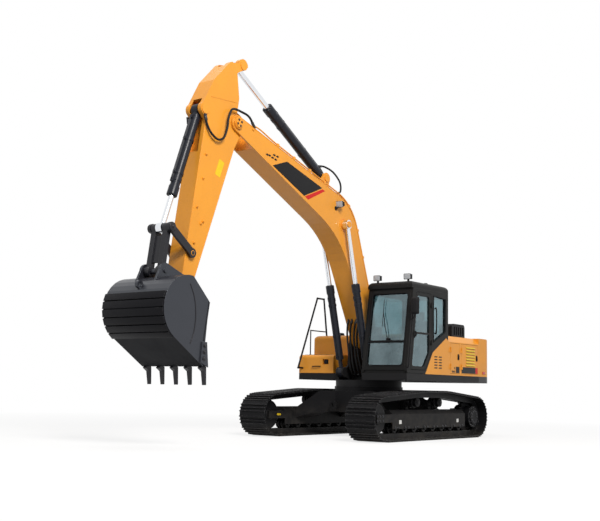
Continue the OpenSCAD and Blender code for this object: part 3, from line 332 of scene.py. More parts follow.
def painted(name, color, rough, metal=0.0, coat=0.0, edge=0.005, wear=None, wear_and_glint_share=0.5, dust=None,
            dust_top=0.0, grain=260.0, bump=0.06, vary=0.1, speck=0.0, shine=0.5, tint=(1, 1, 1),
            painted_shade=None, band=None):
    """Paint or bare metal with cloudy colour, fine grain, worn edges, which on some paints also serve as painted
    highlights, and dust on its lower parts.

    scuffed is a function that gives the mask of a stretch with painted shade, which is made darker and duller.
    band is a height and the colour below it.
    """
    n = Nodes(name)
    normal, mask = n.edge(edge)
    cloud = n.noise(1.7, 6.0, 0.6)
    fine = n.noise(38.0, 5.0, 0.6)
    shade = n.mix(n.span(cloud, 0.3, 0.7), scaled(color, 1 - vary), scaled(color, 1 + vary))
    shade = n.mix(n.math("MULTIPLY", n.span(fine, 0.52, 0.75), 0.16), shade, scaled(color, 0.6))
    roughness = n.span(cloud, 0.25, 0.75, rough - 0.07, rough + 0.09)
    if speck:
        chips = n.span(n.noise(95.0, 3.0, 0.7), 0.70, 0.74, 0.0, speck)
        shade = n.mix(chips, shade, scaled(color, 0.35))
    # Painted shade: the masked stretch gets a darker colour, less specular and more roughness
    if painted_shade:
        painted_shade_mask = painted_shade(n)
        shade = n.mix(painted_shade_mask, shade, scaled(color, 0.3))
        shine = n.span(painted_shade_mask, 0.0, 1.0, shine, 0.06)
        roughness = n.math("ADD", roughness, n.math("MULTIPLY", painted_shade_mask, 0.15))
    z = n.add("SeparateXYZ", Vector=n.place()).outputs["Z"]
    if band:
        shade = n.mix(n.math("LESS_THAN", z, band[0]), shade, band[1])
    if dust:
        low = n.span(z, dust_top, 0.0)
        dusty = n.math("MULTIPLY", low, n.span(n.noise(6.0, 6.0, 0.7), 0.4, 0.7, 0.1, 0.75))
        shade = n.mix(dusty, shade, dust)
        roughness = n.math("ADD", roughness, n.math("MULTIPLY", dusty, 0.3))
    # Worn edges in the wear colour; on the track steel and the wear bars this lighter edge is also a painted highlight
    if wear:
        wear_and_glint = n.math("MULTIPLY", mask, n.span(n.noise(24.0, 4.0, 0.7), 0.42, 0.6, 0.0, wear_and_glint_share))
        shade = n.mix(wear_and_glint, shade, wear)
    peel = n.add("Bump", Strength=bump, Distance=0.002, Height=n.noise(grain, 2.0, 0.5), Normal=normal)
    bsdf = n.add("BsdfPrincipled", Base_Color=shade, Roughness=roughness, Metallic=metal, Coat_Weight=coat,
                 Coat_Roughness=0.12, Specular_IOR_Level=shine, Specular_Tint=tint,
                 Normal=peel.outputs[0])
    MATERIALS[name] = n.finish(bsdf.outputs[0])


def rod_chrome(name):
    """Polished rod with fine rings along it."""
    n = Nodes(name)
    stretch = n.add("Mapping", Vector=n.place(), Scale=(14, 14, 240))
    rings = n.noise(3.0, 4.0, 0.6, stretch.outputs[0])
    normal = n.edge(0.003)[0]
    bump = n.add("Bump", Strength=0.05, Distance=0.001, Height=rings, Normal=normal)
    bsdf = n.add("BsdfPrincipled", Base_Color=(0.78, 0.80, 0.83), Metallic=1.0,
                 Roughness=n.span(rings, 0.3, 0.7, 0.1, 0.24), Normal=bump.outputs[0])
    MATERIALS[name] = n.finish(bsdf.outputs[0])


def tinted_glass(name, tint, sheen):
    """Clear pane whose sheen grows where it is seen at a slant."""
    n = Nodes(name)
    streak = n.span(n.noise(2.2, 5.0, 0.6), 0.35, 0.7, 0.0, 0.12)
    facing = n.add("LayerWeight", Blend=0.22).outputs["Facing"]
    clear = n.add("BsdfTransparent", Color=tint)
    gloss = n.add("BsdfGlossy", Color=sheen, Roughness=0.03)
    share = n.math("ADD", n.span(facing, 0.0, 1.0, 0.1, 0.7), streak)
    MATERIALS[name] = n.finish(n.blend(share, clear, gloss))


def woven(name, color):
    """Cloth with a diagonal weave."""
    n = Nodes(name)
    wave = n.add("TexWave", {"wave_type": "BANDS", "bands_direction": "DIAGONAL"}, Scale=90.0,
                 Distortion=1.2, Vector=n.place())
    bump = n.add("Bump", Strength=0.3, Distance=0.002, Height=wave.outputs["Fac"])
    shade = n.mix(wave.outputs["Fac"], scaled(color, 0.7), scaled(color, 1.3))
    bsdf = n.add("BsdfPrincipled", Base_Color=shade, Roughness=0.9, Sheen_Weight=0.3,
                 Normal=bump.outputs[0])
    MATERIALS[name] = n.finish(bsdf.outputs[0])


BUCKET_PIN = JOINTS["bucket_curl"]["pos_m"]
# The bucket's rolled back: its centre from the pin, its radius, and where its wear bars start, in degrees
ROLL_X, ROLL_Z, ROLL_R, BARS_FROM = 420, -400, 500, 26
# Inside of the bucket's cheeks, in metres
CHEEK_IN = 0.6345


def bucket_back_shade(n):
    """Mask of the painted shade on the bucket's back, below its top wear strip and between its cheeks."""
    p = n.add("SeparateXYZ", Vector=n.place()).outputs
    tilt = math.radians(BARS_FROM)
    x = n.math("SUBTRACT", p["X"], BUCKET_PIN[0] + ROLL_X / 1000)
    z = n.math("SUBTRACT", p["Z"], BUCKET_PIN[2] + ROLL_Z / 1000)
    rise = n.math("MULTIPLY", z, math.cos(tilt))
    height = n.math("SUBTRACT", rise, n.math("MULTIPLY", x, math.sin(tilt)))
    below = n.math("LESS_THAN", height, 0.0)
    return n.math("MULTIPLY", below, n.math("LESS_THAN", n.math("ABSOLUTE", p["Y"]), CHEEK_IN))


# Top of the counterweight's black band, in metres, and colours that several paints share
DECK_TOP = 1.2
AMBER = (0.80, 0.325, 0.030)
STEEL = (0.16, 0.16, 0.17)
DUST = (0.075, 0.068, 0.060)
painted("amber_paint", AMBER, 0.36, coat=0.1, wear=(0.30, 0.15, 0.05), wear_and_glint_share=0.25, vary=0.05,
        shine=0.3)
painted("cast_weight", scaled(AMBER, 0.97), 0.42, coat=0.1, edge=0.012, bump=0.16, grain=120.0, vary=0.06,
        shine=0.3, band=(DECK_TOP, (0.010, 0.010, 0.011)))
painted("frame_black", (0.008, 0.008, 0.009), 0.45, wear=STEEL, wear_and_glint_share=0.3, dust=DUST, dust_top=0.7,
        shine=0.08)
# Track steel: its lighter grouser edges are worn bare steel and also painted highlights
painted("track_steel", (0.007, 0.007, 0.008), 0.42, edge=0.004, wear=(0.36, 0.36, 0.37), wear_and_glint_share=0.65,
        dust=DUST, dust_top=0.25, bump=0.12, shine=0.10)
painted("frame_grey", (0.012, 0.012, 0.013), 0.45, wear=STEEL, wear_and_glint_share=0.2, shine=0.12)
painted("engine_block", (0.05, 0.05, 0.055), 0.6, bump=0.2, shine=0.2)
painted("black_paint", (0.008, 0.008, 0.009), 0.4, wear=STEEL, wear_and_glint_share=0.25, shine=0.12)
painted("cab_paint", (0.011, 0.011, 0.011), 0.38, edge=0.012, wear=STEEL, wear_and_glint_share=0.12, shine=0.10)
painted("cab_plastic", (0.010, 0.010, 0.011), 0.6, bump=0.2, shine=0.12)
painted("cylinder_paint", (0.013, 0.015, 0.022), 0.30, coat=0.03, edge=0.004, wear=STEEL, wear_and_glint_share=0.2,
        shine=0.2)
painted("bucket_paint", (0.013, 0.013, 0.017), 0.36, edge=0.006, wear=STEEL, wear_and_glint_share=0.35, speck=0.4,
        bump=0.1, shine=0.3)
# The bucket's shell: its back below the top wear strip is darkened as painted shade and made duller
painted("bucket_shell", (0.016, 0.016, 0.021), 0.34, edge=0.006, wear=STEEL, speck=0.4, bump=0.1,
        shine=0.6, tint=(0.80, 0.89, 1.0), painted_shade=bucket_back_shade)
# Wear bars: their lighter edges are worn bare steel and also painted highlights
painted("wear_bar", (0.006, 0.006, 0.008), 0.42, wear=STEEL, wear_and_glint_share=0.6, bump=0.12, shine=0.10)
rod_chrome("chrome_rod")
tinted_glass("tinted_glass", (0.52, 0.66, 0.68), (0.50, 0.61, 0.65))
painted("hose_rubber", (0.008, 0.008, 0.009), 0.55, bump=0.25, grain=420.0, shine=0.2)
painted("rubber", (0.006, 0.006, 0.007), 0.7, bump=0.1, shine=0.15)
painted("bolt_steel", (0.04, 0.04, 0.044), 0.35, metal=0.8, edge=0.002, wear=(0.25, 0.25, 0.26))
# Black for print, and for the painted shade inside the cowl's vent slots
painted("decal_black", (0.006, 0.006, 0.007), 0.3, vary=0.25, bump=0.03, shine=0.15)
painted("decal_red", (0.60, 0.012, 0.010), 0.32, bump=0.03, shine=0.2)
painted("decal_yellow", (0.80, 0.55, 0.015), 0.35, bump=0.03, shine=0.3)
painted("label_white", (0.72, 0.72, 0.70), 0.4, bump=0.03)
painted("reflector_red", (0.55, 0.015, 0.012), 0.15, coat=0.4, bump=0.3, grain=140.0)
painted("lens_white", (0.40, 0.42, 0.45), 0.12, coat=0.3, bump=0.4, grain=90.0)
painted("mirror_face", (0.75, 0.77, 0.78), 0.06, metal=1.0, bump=0.0)
woven("seat_cloth", (0.02, 0.02, 0.023))


def dress():
    """Gives each CAD node its material."""
    for part in RECORD["subparts"]:
        o = NODES[part["node"]]
        o.data.materials.clear()
        shell = part["node"] == "bucket"
        o.data.materials.append(MATERIALS["bucket_shell" if shell else part["material_slot"]])


dress()


# Floor and light

# Light that the background gives to the object, and that the floor throws back
FILL, BOUNCE = 0.38, 0.4
# Distances from the machine over which the floor fades into the background
FADE = 5.0, 16.0


def make_stage():
    """White floor and background."""
    n = Nodes("floor_white")
    speckle = n.span(n.noise(3.0), 0.3, 0.7, 0.93, 0.97)
    white = n.add("CombineColor", Red=speckle, Green=speckle, Blue=speckle).outputs[0]
    shade = n.mix(n.background_rays(), (BOUNCE,) * 3, white)
    soft = n.add("BsdfPrincipled", Base_Color=shade, Roughness=0.8)
    glow = n.add("Emission", Color=(1, 1, 1), Strength=1.0)
    away = n.feed(n.add("VectorMath", {"operation": "LENGTH"}), n.place()).outputs["Value"]
    share = n.math("MULTIPLY", n.background_rays(), n.span(away, *FADE, 0.74, 1.0))
    bm = bmesh.new()
    bmesh.ops.create_circle(bm, cap_ends=True, segments=96, radius=60)
    floor = new_object("floor", new_mesh("floor", bm))
    floor.data.materials.append(n.finish(n.blend(share, soft, glow)))
    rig.stage(floor)
    w = Nodes("studio", "World")
    sky = w.add("Background", Color=(1, 1, 1), Strength=w.span(w.background_rays(), 0.0, 1.0, FILL, 1.0))
    bpy.context.scene.world = w.finish(sky.outputs[0])


def area_light(name, place, aim, size, power, color=(1, 1, 1)):
    """Round light that looks at a point."""
    data = bpy.data.lights.new(name, "AREA")
    data.shape, data.size, data.energy, data.color = "DISK", size, power, color
    o = new_object(name, data)
    o.location = place
    o.rotation_mode = "QUATERNION"
    o.rotation_quaternion = (Vector(aim) - Vector(place)).to_track_quat("-Z", "Y")


make_stage()
area_light("key", (9, 13, 14), (0, 0, 2), 7, 3300, (1.0, 0.97, 0.93))
area_light("top", (0, -2, 16), (0, 0, 2), 10, 600)
view = bpy.context.scene.view_settings
view.view_transform, view.look = "Standard", "None"


# Places

# Slopes of the boom and the arm at rest, in degrees
BOOM_ANGLE, ARM_ANGLE = 38.6, -69.5
# Half widths of the boom and the arm, and the side of the house, in millimetres
BOOM_HALF, ARM_HALF, HOUSE_Y = 205, 165, 1364
# The boom's upper edge: where its straight stretches would meet, their slopes, and the arc between them
BEND_X, BEND_Z, BEND_RISE, BEND_FALL = 2190, 1465, 0.5818, 0.4190
ARC_FROM, ARC_TO, ARC_X, ARC_Z, ARC_R = 1781, 2626, 2259, 406, 950
# The boom's tip pin and the lug of its cylinders, on the boom, and the link's upper pin, on the bucket
TIP_X, LUG_X, LUG_Z, LINK_X, LINK_Z = 5337, 2160, 950, 400, 850
# The cab's front: its foot, and how far it leans back over its height
FRONT_X, FRONT_Z, FRONT_LEAN, FRONT_RISE = 850, 1330, 220, 1440
SIDE, UP, AHEAD = Vector((0, 1, 0)), Vector((0, 0, 1)), Vector((1, 0, 0))
LEFT, RIGHT = 1, -1
SIDES = LEFT, RIGHT


def turned(origin, angle):
    """Side view frame, in millimetres, at a point of the frame and turned up by an angle."""
    a = math.radians(angle)
    c, s = math.cos(a) / 1000, math.sin(a) / 1000
    return lambda x, y, z: Vector((origin[0] + x * c - z * s, y / 1000, origin[2] + x * s + z * c))


on_foot = turned(JOINTS["boom_lift"]["pos_m"], 0)
on_boom = turned(JOINTS["boom_lift"]["pos_m"], BOOM_ANGLE)
on_arm = turned(JOINTS["arm_crowd"]["pos_m"], ARM_ANGLE)
on_bucket = turned(BUCKET_PIN, 0)


def mirrored(place, points, side):
    """Places of points, on the left or the right side."""
    return [place(x, side * y, z) for x, y, z in points]


def boom_top(x):
    """Height of the boom's upper edge in its own frame."""
    if x < ARC_FROM:
        return BEND_Z + (x - BEND_X) * BEND_RISE
    if x < ARC_TO:
        return ARC_Z + math.sqrt(ARC_R ** 2 - (x - ARC_X) ** 2)
    return BEND_Z - (x - BEND_X) * BEND_FALL


def on_top(x, y, lift=0):
    """Place at a height above the boom's upper edge."""
    return on_boom(x, y, boom_top(x) + lift)


def screen_x(z, out):
    """Front of the cab at a height, moved out."""
    return FRONT_X - FRONT_LEAN * max(0, z - FRONT_Z) / FRONT_RISE + out


# Mesh builders, with places and radii in metres

# Angle between faces, in radians, from which an edge is bevelled
SHARP = 0.7
# Thickness of a film
FILM = 0.0012


def turns(n):
    """Angles of n equal steps round a circle."""
    return [math.tau * k / n for k in range(n)]


def spokes(axis, n):
    """Directions square to an axis, in n equal steps round it."""
    a = axis.orthogonal().normalized()
    b = axis.cross(a)
    return [a * math.cos(t) + b * math.sin(t) for t in turns(n)]


def loft(bm, rings, closed=False, foot=True):
    """Skin over rings of points: closed joins the last to the first, or else the ends are capped."""
    rows = [[bm.verts.new(p) for p in ring] for ring in rings]
    after = rows[1:] + rows[:1] if closed else rows[1:]
    n = len(rows[0])
    for low, high in zip(rows, after):
        for k in range(n):
            bm.faces.new((low[k], low[(k + 1) % n], high[(k + 1) % n], high[k]))
    if foot and not closed:
        bm.faces.new(rows[0][::-1])
    if not closed:
        bm.faces.new(rows[-1])


def lathe(bm, p, axis, profile, segments=20):
    """Solid turned round an axis: profile is (radius, height), from the foot to the top."""
    around = spokes(axis, segments)
    loft(bm, [[p + axis * h + spoke * r for spoke in around] for r, h in profile])


def collar(bm, p, axis, profile, segments=36):
    """Ring turned round an axis from a closed profile of (radius, height)."""
    around = spokes(axis, segments)
    loft(bm, [[p + axis * h + spoke * r for r, h in profile] for spoke in around], closed=True)


def cap(bm, p, axis, rim, top, segments=20):
    """Disc with a bevelled edge: rim and top are the (radius, height) where the bevel starts and ends."""
    lathe(bm, p, axis, [(rim[0], 0), rim, top], segments)


def side_caps(bm, place, p, rim, top, segments):
    """A cap at a point given in millimetres, and one at its mirror."""
    x, y, z = p
    for side in SIDES:
        cap(bm, place(x, side * y, z), SIDE * side, rim, top, segments)


def bolt(bm, p, axis, r):
    """Hexagon head on a washer."""
    cap(bm, p, axis, (r * 1.6, r * 0.25), (r * 1.45, r * 0.32), 16)
    lathe(bm, p, axis, [(r * 1.15, r * 0.3), (r * 1.15, r * 0.9), (r * 0.9, r * 1.1)], 6)


def prism(bm, points, sweep_by):
    """Outline swept along a vector."""
    loft(bm, [points, [p + sweep_by for p in points]])


def block(bm, p, x, y, z):
    """Block round a point, from three half-size vectors."""
    prism(bm, [p - x - y - z, p + x - y - z, p + x + y - z, p - x + y - z], z * 2)


def tube(bm, path, r, closed=False, sides=10):
    """Round tube along points."""
    n = len(path)
    rings, across = [], None
    for i, p in enumerate(path):
        before = path[i - 1] if closed else path[max(i - 1, 0)]
        after = path[(i + 1) % n] if closed else path[min(i + 1, n - 1)]
        t = (after - before).normalized()
        across = t.orthogonal() if across is None else across - t * across.dot(t)
        across.normalize()
        other = t.cross(across)
        rings.append([p + (across * math.cos(a) + other * math.sin(a)) * r for a in turns(sides)])
    loft(bm, rings, closed)


def smooth(points, n=8):
    """Soft line through points."""
    ends = [points[0] * 2 - points[1], *points, points[-1] * 2 - points[-2]]
    out = []
    for a, b, c, d in zip(ends, ends[1:], ends[2:], ends[3:]):
        for k in range(n):
            t = k / n
            out.append((b * 2 + (c - a) * t + (a * 2 - b * 5 + c * 4 - d) * t ** 2
                        + (b * 3 - a - c * 3 + d) * t ** 3) / 2)
    return [*out, points[-1]]


def rod(bm, place, points, r, n=6):
    """Round rod bent through points that are given in millimetres."""
    tube(bm, smooth([place(*p) for p in points], n), r)


def bow(bm, start, end, rise, r):
    """Handle that stands out from two points by a vector."""
    tube(bm, smooth([start, start + rise, end + rise, end], 5), r)


def round_box(u, v, r, n=5):
    """Outline of a box from u[0] to u[1] and v[0] to v[1] with rounded corners."""
    corners = [(u[1] - r, v[1] - r), (u[0] + r, v[1] - r), (u[0] + r, v[0] + r), (u[1] - r, v[0] + r)]
    quarter = [math.pi / 2 * k / n for k in range(n + 1)]
    return [(x + r * math.cos(start + t), y + r * math.sin(start + t))
            for start, (x, y) in zip(turns(4), corners) for t in quarter]


def side_plate(bm, p, reach, r, sweep_by):
    """Plate with round corners on a side wall: p, its reach in x and z, and r are in millimetres."""
    x, y, z = p
    prism(bm, [at(x + u, y, z + v) for u, v in round_box(*reach, r)], sweep_by)


def top_plate(bm, p, reach, r, thick, place=at):
    """Plate with round corners on a flat top: p, its reach in x and y, and r are in millimetres."""
    x, y, z = p
    prism(bm, [place(x + u, y + v, z) for u, v in round_box(*reach, r)], UP * thick)


def piece(name, body, material, build, slot=None, bevel=0.0, crease=40):
    """Visible piece on a body, from a function that fills its mesh. It is smooth below the crease angle."""
    bm = bmesh.new()
    build(bm)
    bmesh.ops.recalc_face_normals(bm, faces=bm.faces)
    if bevel:
        edges = [e for e in bm.edges if e.calc_face_angle(0) > SHARP]
        bmesh.ops.bevel(bm, geom=edges, offset=bevel, segments=2, profile=0.6, affect="EDGES",
                        clamp_overlap=True)
    mesh = new_mesh(name, bm)
    mesh.shade_smooth()
    mesh.set_sharp_from_angle(angle=math.radians(crease))
    mesh.materials.append(MATERIALS[material])
    o = new_object(name, mesh)
    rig.slot(o, slot or material)
    if body:
        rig.ride(o, body)
    return o


def bolts(name, body, spots, slot):
    """Bolts in one piece: each spot is a place, an axis and a radius."""
    def build(bm):
        for p, axis, r in spots:
            bolt(bm, p, axis, r)
    piece(name, body, "bolt_steel", build, slot=slot)


def decal(name, body, material, place, outlines, y):
    """Films on a painted side that looks to the left: outlines are (x, z) in millimetres."""
    def build(bm):
        for outline in outlines:
            prism(bm, [place(x, y, z) for x, z in outline], SIDE * FILM)
    piece(name, body, material, build, slot="amber_paint")


# Hoses

HOSE_R, LOOP_R = 0.019, 0.017
# Tip hoses: from the boom's pipes, round the joint and up the arm to the bucket cylinder
TIP_ON_BOOM = [(5060, 212, 280), (5230, 216, 296), (5390, 222, 212)]
TIP_ON_ARM = [(-120, 236, 225), (60, 240, 262), (240, 236, 222), (425, 230, 222), (530, 222, 320),
              (520, 212, 480), (440, 200, 610), (330, 190, 690)]
# Loops from the ends of the boom's inner pipes to the arm cylinder
LOOP_ON_BOOM = [(2640, 168, 1300), (2600, 166, 1420), (2720, 160, 1540), (2950, 120, 1565),
                (3150, 60, 1500), (3244, 28, 1411)]
FOOT_HOSES_Y = -130, -50, 50, 130
# Sleeve and nut of a fitting: how far back they start, and their profiles in hose radii and metres
SLEEVE_BACK, SLEEVE = 0.012, [(1.1, 0), (1.3, 0.006), (1.3, 0.07), (1.08, 0.08)]
NUT_BACK, NUT = 0.045, [(1.35, 0), (1.5, 0.006), (1.5, 0.03), (1.3, 0.036)]


def hose(name, points, r, first, second):
    """Free hose between two bodies that one joint joins. Gives its ends: body, place, way, radius."""
    path = smooth(points, 9)
    o = piece(name, None, "hose_rubber", lambda bm: tube(bm, path, r, sides=12), "black_paint", crease=80)
    length = sum((b - a).length for a, b in zip(path, path[1:]))
    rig.blend(o, first, second, start=path[0], end=path[-1])
    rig.cord(o, exit=path[0], length=round(length, 3), diameter=2 * r, far_end="object", stiffness="stiff",
            lay="hanging", path=path[::3])
    return [(first, path[0], (path[2] - path[0]).normalized(), r),
            (second, path[-1], (path[-3] - path[-1]).normalized(), r)]


def make_fittings(ends):
    """Crimped sleeve and nut at each end of the hoses, in one piece for each body."""
    for body in dict.fromkeys(end[0] for end in ends):
        def build(bm):
            for _, p, way, r in [end for end in ends if end[0] == body]:
                lathe(bm, p - way * SLEEVE_BACK, way, [(r * k, h) for k, h in SLEEVE], 18)
                lathe(bm, p - way * NUT_BACK, way, [(r * k, h) for k, h in NUT], 6)
        piece(f"hose_fittings_{body}", body, "bolt_steel", build, slot="frame_black")


def make_hoses():
    ends = []
    for side, name in ((LEFT, "left"), (RIGHT, "right")):
        tip = mirrored(on_boom, TIP_ON_BOOM, side) + mirrored(on_arm, TIP_ON_ARM, side)
        ends += hose(f"tip_hose_{name}", tip, HOSE_R, "boom", "arm")
        loop = mirrored(on_boom, LOOP_ON_BOOM, side)
        ends += hose(f"arm_cylinder_hose_{name}", loop, LOOP_R, "boom", "arm_tube")
    for i, y in enumerate(FOOT_HOSES_Y):
        route = [at(262, y, 1165), at(390, y * 0.95, 1180), at(505, y * 0.85, 1370 + 20 * i),
                 at(560, y * 0.8, 1640), at(600, y * 0.85, 1900), at(575, y * 0.95, 2110),
                 on_boom(520, y, 40)]
        ends += hose(f"foot_hose_{i + 1}", route, HOSE_R, "house", "boom")
    make_fittings(ends)


# Boom and arm

# Pipes on the boom: places of the outer, inner and thin pair, their ends on the top, the outer pair's tail
OUTER_Y, INNER_Y, THIN_Y = 188, 156, 122
OUTER_END, INNER_END, THIN_END = 4600, 2640, 1900
PIPE_TAIL = [(4700, 196, 452), (4830, 206, 400), (4950, 212, 345), TIP_ON_BOOM[0]]
PIPE_X, PIPE_STEP, PIPE_LIFT, PIPE_R = 620, 130, 36, 0.013
THIN_X, THIN_STEP, THIN_LIFT, THIN_R = 700, 120, 32, 0.009
CLAMPS_X = 800, 1300, 1760, 2250, 3050, 3500, 3950, 4400
# Weld beads: how far in from a plate's edge, and their radii
WELD_IN, BEAD_R, RING_BEAD_R = 14, 0.005, 0.006
# The arm's lower and upper edge: a point (x, z), the slope and the way in, with the ends of their welds
ARM_EDGES = (420, -125, 0.002, WELD_IN), (330, 655, -0.2035, -WELD_IN)
ARM_WELD_X = 420, 2850
ARM_SEAM = [(-330, 120), (-66, 681)]
BOSSES = (860, 422), (1737, 274), (1936, 93), (1880, 60), (2284, 112), (1250, 330)
# Films: the boom's panel and its end, the dashes beside it, and the arm's label
PANEL = [(3340, 448), (4285, 170), (4065, 535), (3060, 975)]
PANEL_END = [(3215, 485), (3320, 455), (3040, 968), (2965, 1000)]
DASH = [(0, 0), (55, -22), (40, 22), (-15, 44)]
DASHES_AT = (4275, 300), (4275, 380), (4350, 262), (4350, 330), (4430, 225), (4480, 190)
LABEL_X, LABEL_Z, LABEL_R = (760, 1040), (-10, 118), 14


def make_boom_trim():
    ahead = (on_boom(1, 0, 0) - on_boom(0, 0, 0)).normalized()
    up = (on_boom(0, 0, 1) - on_boom(0, 0, 0)).normalized()

    def pipes(bm):
        for side in SIDES:
            for y, end, tail in ((OUTER_Y, OUTER_END, PIPE_TAIL), (INNER_Y, INNER_END, [])):
                line = [on_top(PIPE_X - 60, side * y, -4)]
                line += [on_top(x, side * y, PIPE_LIFT) for x in range(PIPE_X, end, PIPE_STEP)]
                tube(bm, smooth(line + mirrored(on_boom, tail, side), 4), PIPE_R)
            thin = [on_top(x, side * THIN_Y, THIN_LIFT) for x in range(THIN_X, THIN_END, THIN_STEP)]
            tube(bm, smooth(thin, 3), THIN_R)
    piece("boom_pipes", "boom", "amber_paint", pipes, crease=80)

    def clamps(bm):
        for side in SIDES:
            for x in CLAMPS_X:
                slope = (boom_top(x + 5) - boom_top(x - 5)) / 10
                along = (ahead + up * slope).normalized()
                rise = Vector((-along.z, 0, along.x))
                y, half = ((OUTER_Y + INNER_Y) / 2, 0.036) if x < INNER_END else (OUTER_Y, 0.020)
                p = on_top(x, side * y) + rise * 0.026
                block(bm, p, along * 0.024, SIDE * half, rise * 0.027)
            block(bm, on_boom(5020, side * 208, 262), ahead * 0.02, SIDE * 0.012, up * 0.05)
    piece("boom_pipe_clamps", "boom", "amber_paint", clamps, bevel=0.005)

    def welds(bm):
        for side in SIDES:
            top = [on_top(x, side * BOOM_HALF, -WELD_IN) for x in range(150, 5250, 90)]
            tube(bm, top, BEAD_R, sides=6)
            for x, z, r in ((LUG_X, LUG_Z, 118), (TIP_X, 0, 112)):
                turn = [t * 0.2 for t in range(32)]
                ring = [on_boom(x + r * math.cos(t), side * BOOM_HALF, z + r * math.sin(t)) for t in turn]
                tube(bm, ring, RING_BEAD_R, sides=6)
    piece("boom_welds", "boom", "amber_paint", welds, crease=80)


def make_arm_trim():
    def bosses(bm):
        for x, z in BOSSES:
            side_caps(bm, on_arm, (x, ARM_HALF - 1, z), (0.024, 0.012), (0.018, 0.02), 18)
            side_caps(bm, on_arm, (x, ARM_HALF + 18, z), (0.010, 0.012), (0.006, 0.016), 6)
    piece("arm_bosses", "arm", "amber_paint", bosses)

    def welds(bm):
        for side in SIDES:
            for x0, z0, slope, inset in ARM_EDGES:
                ends = [on_arm(x, side * ARM_HALF, z0 + (x - x0) * slope + inset) for x in ARM_WELD_X]
                tube(bm, ends, BEAD_R, sides=6)
            tube(bm, [on_arm(x, side * ARM_HALF, z) for x, z in ARM_SEAM], RING_BEAD_R, sides=6)
    piece("arm_welds", "arm", "amber_paint", welds, crease=80)


def make_gear_films():
    decal("boom_panel", "boom", "decal_black", on_boom, [PANEL], BOOM_HALF)
    decal("boom_panel_end", "boom", "decal_red", on_boom, [PANEL_END], BOOM_HALF)
    dashes = [[(x + u, z + v) for u, v in DASH] for x, z in DASHES_AT]
    decal("boom_dashes", "boom", "decal_black", on_boom, dashes, BOOM_HALF)
    decal("arm_label", "arm", "decal_yellow", on_arm, [round_box(LABEL_X, LABEL_Z, LABEL_R)], ARM_HALF)


# Lamps

# Rings of the housing and the lens: share of the outline, and place along the lamp in depths or in metres
HOUSING = (0.6, -1), (0.92, -0.45), (1, 0), (0.9, 0)
LENS_RINGS = (0.9, 0.001), (0.86, 0.006), (0.6, 0.010)
RIBS = 5


def lamp(name, body, p, ahead, size):
    """Housing with a flared front and ribs on its back, and its lens: size is width, height and depth."""
    w, h, d = size
    up = (UP - ahead * UP.dot(ahead)).normalized()
    across = up.cross(ahead)

    def ring(share, depth, r):
        return [p + ahead * depth + across * u * share + up * v * share
                for u, v in round_box((-w / 2, w / 2), (-h / 2, h / 2), r)]

    def shell(bm):
        loft(bm, [ring(share, depth * d, 0.018) for share, depth in HOUSING])
        for k in range(RIBS):
            rib = p - ahead * (d * 0.9) + across * w * (k - 2) / RIBS
            block(bm, rib, across * 0.002, ahead * d * 0.2, up * h * 0.32)
    piece(name, body, "cab_plastic", shell, slot="black_paint")

    def lens(bm):
        loft(bm, [ring(share, depth, 0.014) for share, depth in LENS_RINGS], foot=False)
    piece(name + "_lens", body, "lens_white", lens, slot="tinted_glass")


def make_lamps():
    aim = Vector((0.97, 0.1, -0.2)).normalized()
    lamp("boom_lamp", "boom", on_boom(2560, 268, 1080), aim, (0.15, 0.12, 0.09))

    def bracket(bm):
        rod(bm, on_boom, [(2530, 200, 1010), (2530, 240, 1010), (2540, 266, 1030)], 0.012, 4)
        cap(bm, on_boom(2530, 204, 1010), SIDE, (0.04, 0.008), (0.034, 0.012))
    piece("boom_lamp_bracket", "boom", "black_paint", bracket)
    aim = Vector((1, 0, -0.06)).normalized()
    for i, y in enumerate((550, 1214)):
        lamp(f"roof_lamp_{i + 1}", "house", at(604, y, 2985), aim, (0.15, 0.11, 0.07))


# Cylinders

def cylinder_trim(name, body, foot, head, length, r, rod_r, neck, y=0, side=1):
    """Bands, wiper ring, return pipe and gland bolts on a cylinder's tube.

    foot and head are its pins. The tube goes from neck to length, in millimetres from the foot pin.
    """
    along = (head - foot).normalized()
    out = Vector((-along.z, 0, along.x)) * side
    foot = foot + SIDE * y / 1000

    def on_tube(x, rise):
        """Place at a distance from the foot pin and from the tube's axis."""
        return foot + along * x / 1000 + out * rise / 1000

    face = on_tube(length, 0)

    def rings(bm):
        q, f = (rod_r + 1.2) / 1000, (r + 0.6) / 1000
        collar(bm, face, along, [(q, 0), (q + 0.014, 0), (q + 0.012, 0.012), (q + 0.004, 0.02), (q, 0.02)])
        for share in (0.3, 0.72):
            x = neck + (length - neck) * share
            collar(bm, on_tube(x, 0), along, [(f, 0), (f + 0.007, 0.003), (f + 0.007, 0.047), (f, 0.05)])
            block(bm, on_tube(x + 25, r + 18.6), along * 0.02, SIDE * 0.022, out * 0.014)
        for x in (neck + 60, length - 235):
            block(bm, on_tube(x, r + 12), along * 0.03, SIDE * 0.026, out * 0.016)
    piece(name + "_bands", body, "cylinder_paint", rings, crease=30)

    def pipe(bm):
        rod(bm, on_tube, [(neck + 60, r + 20), (neck + 75, r + 34), (neck + 180, r + 34),
                          (length - 380, r + 34), (length - 262, r + 34), (length - 238, r + 20)], 0.011)
    piece(name + "_pipe", body, "cylinder_paint", pipe, crease=80)
    ring = [face + (out * math.cos(t) + SIDE * math.sin(t)) * (r - 6) / 1000 for t in turns(10)]
    bolts(name + "_bolts", body, [(p, along, 0.009) for p in ring], "cylinder_paint")


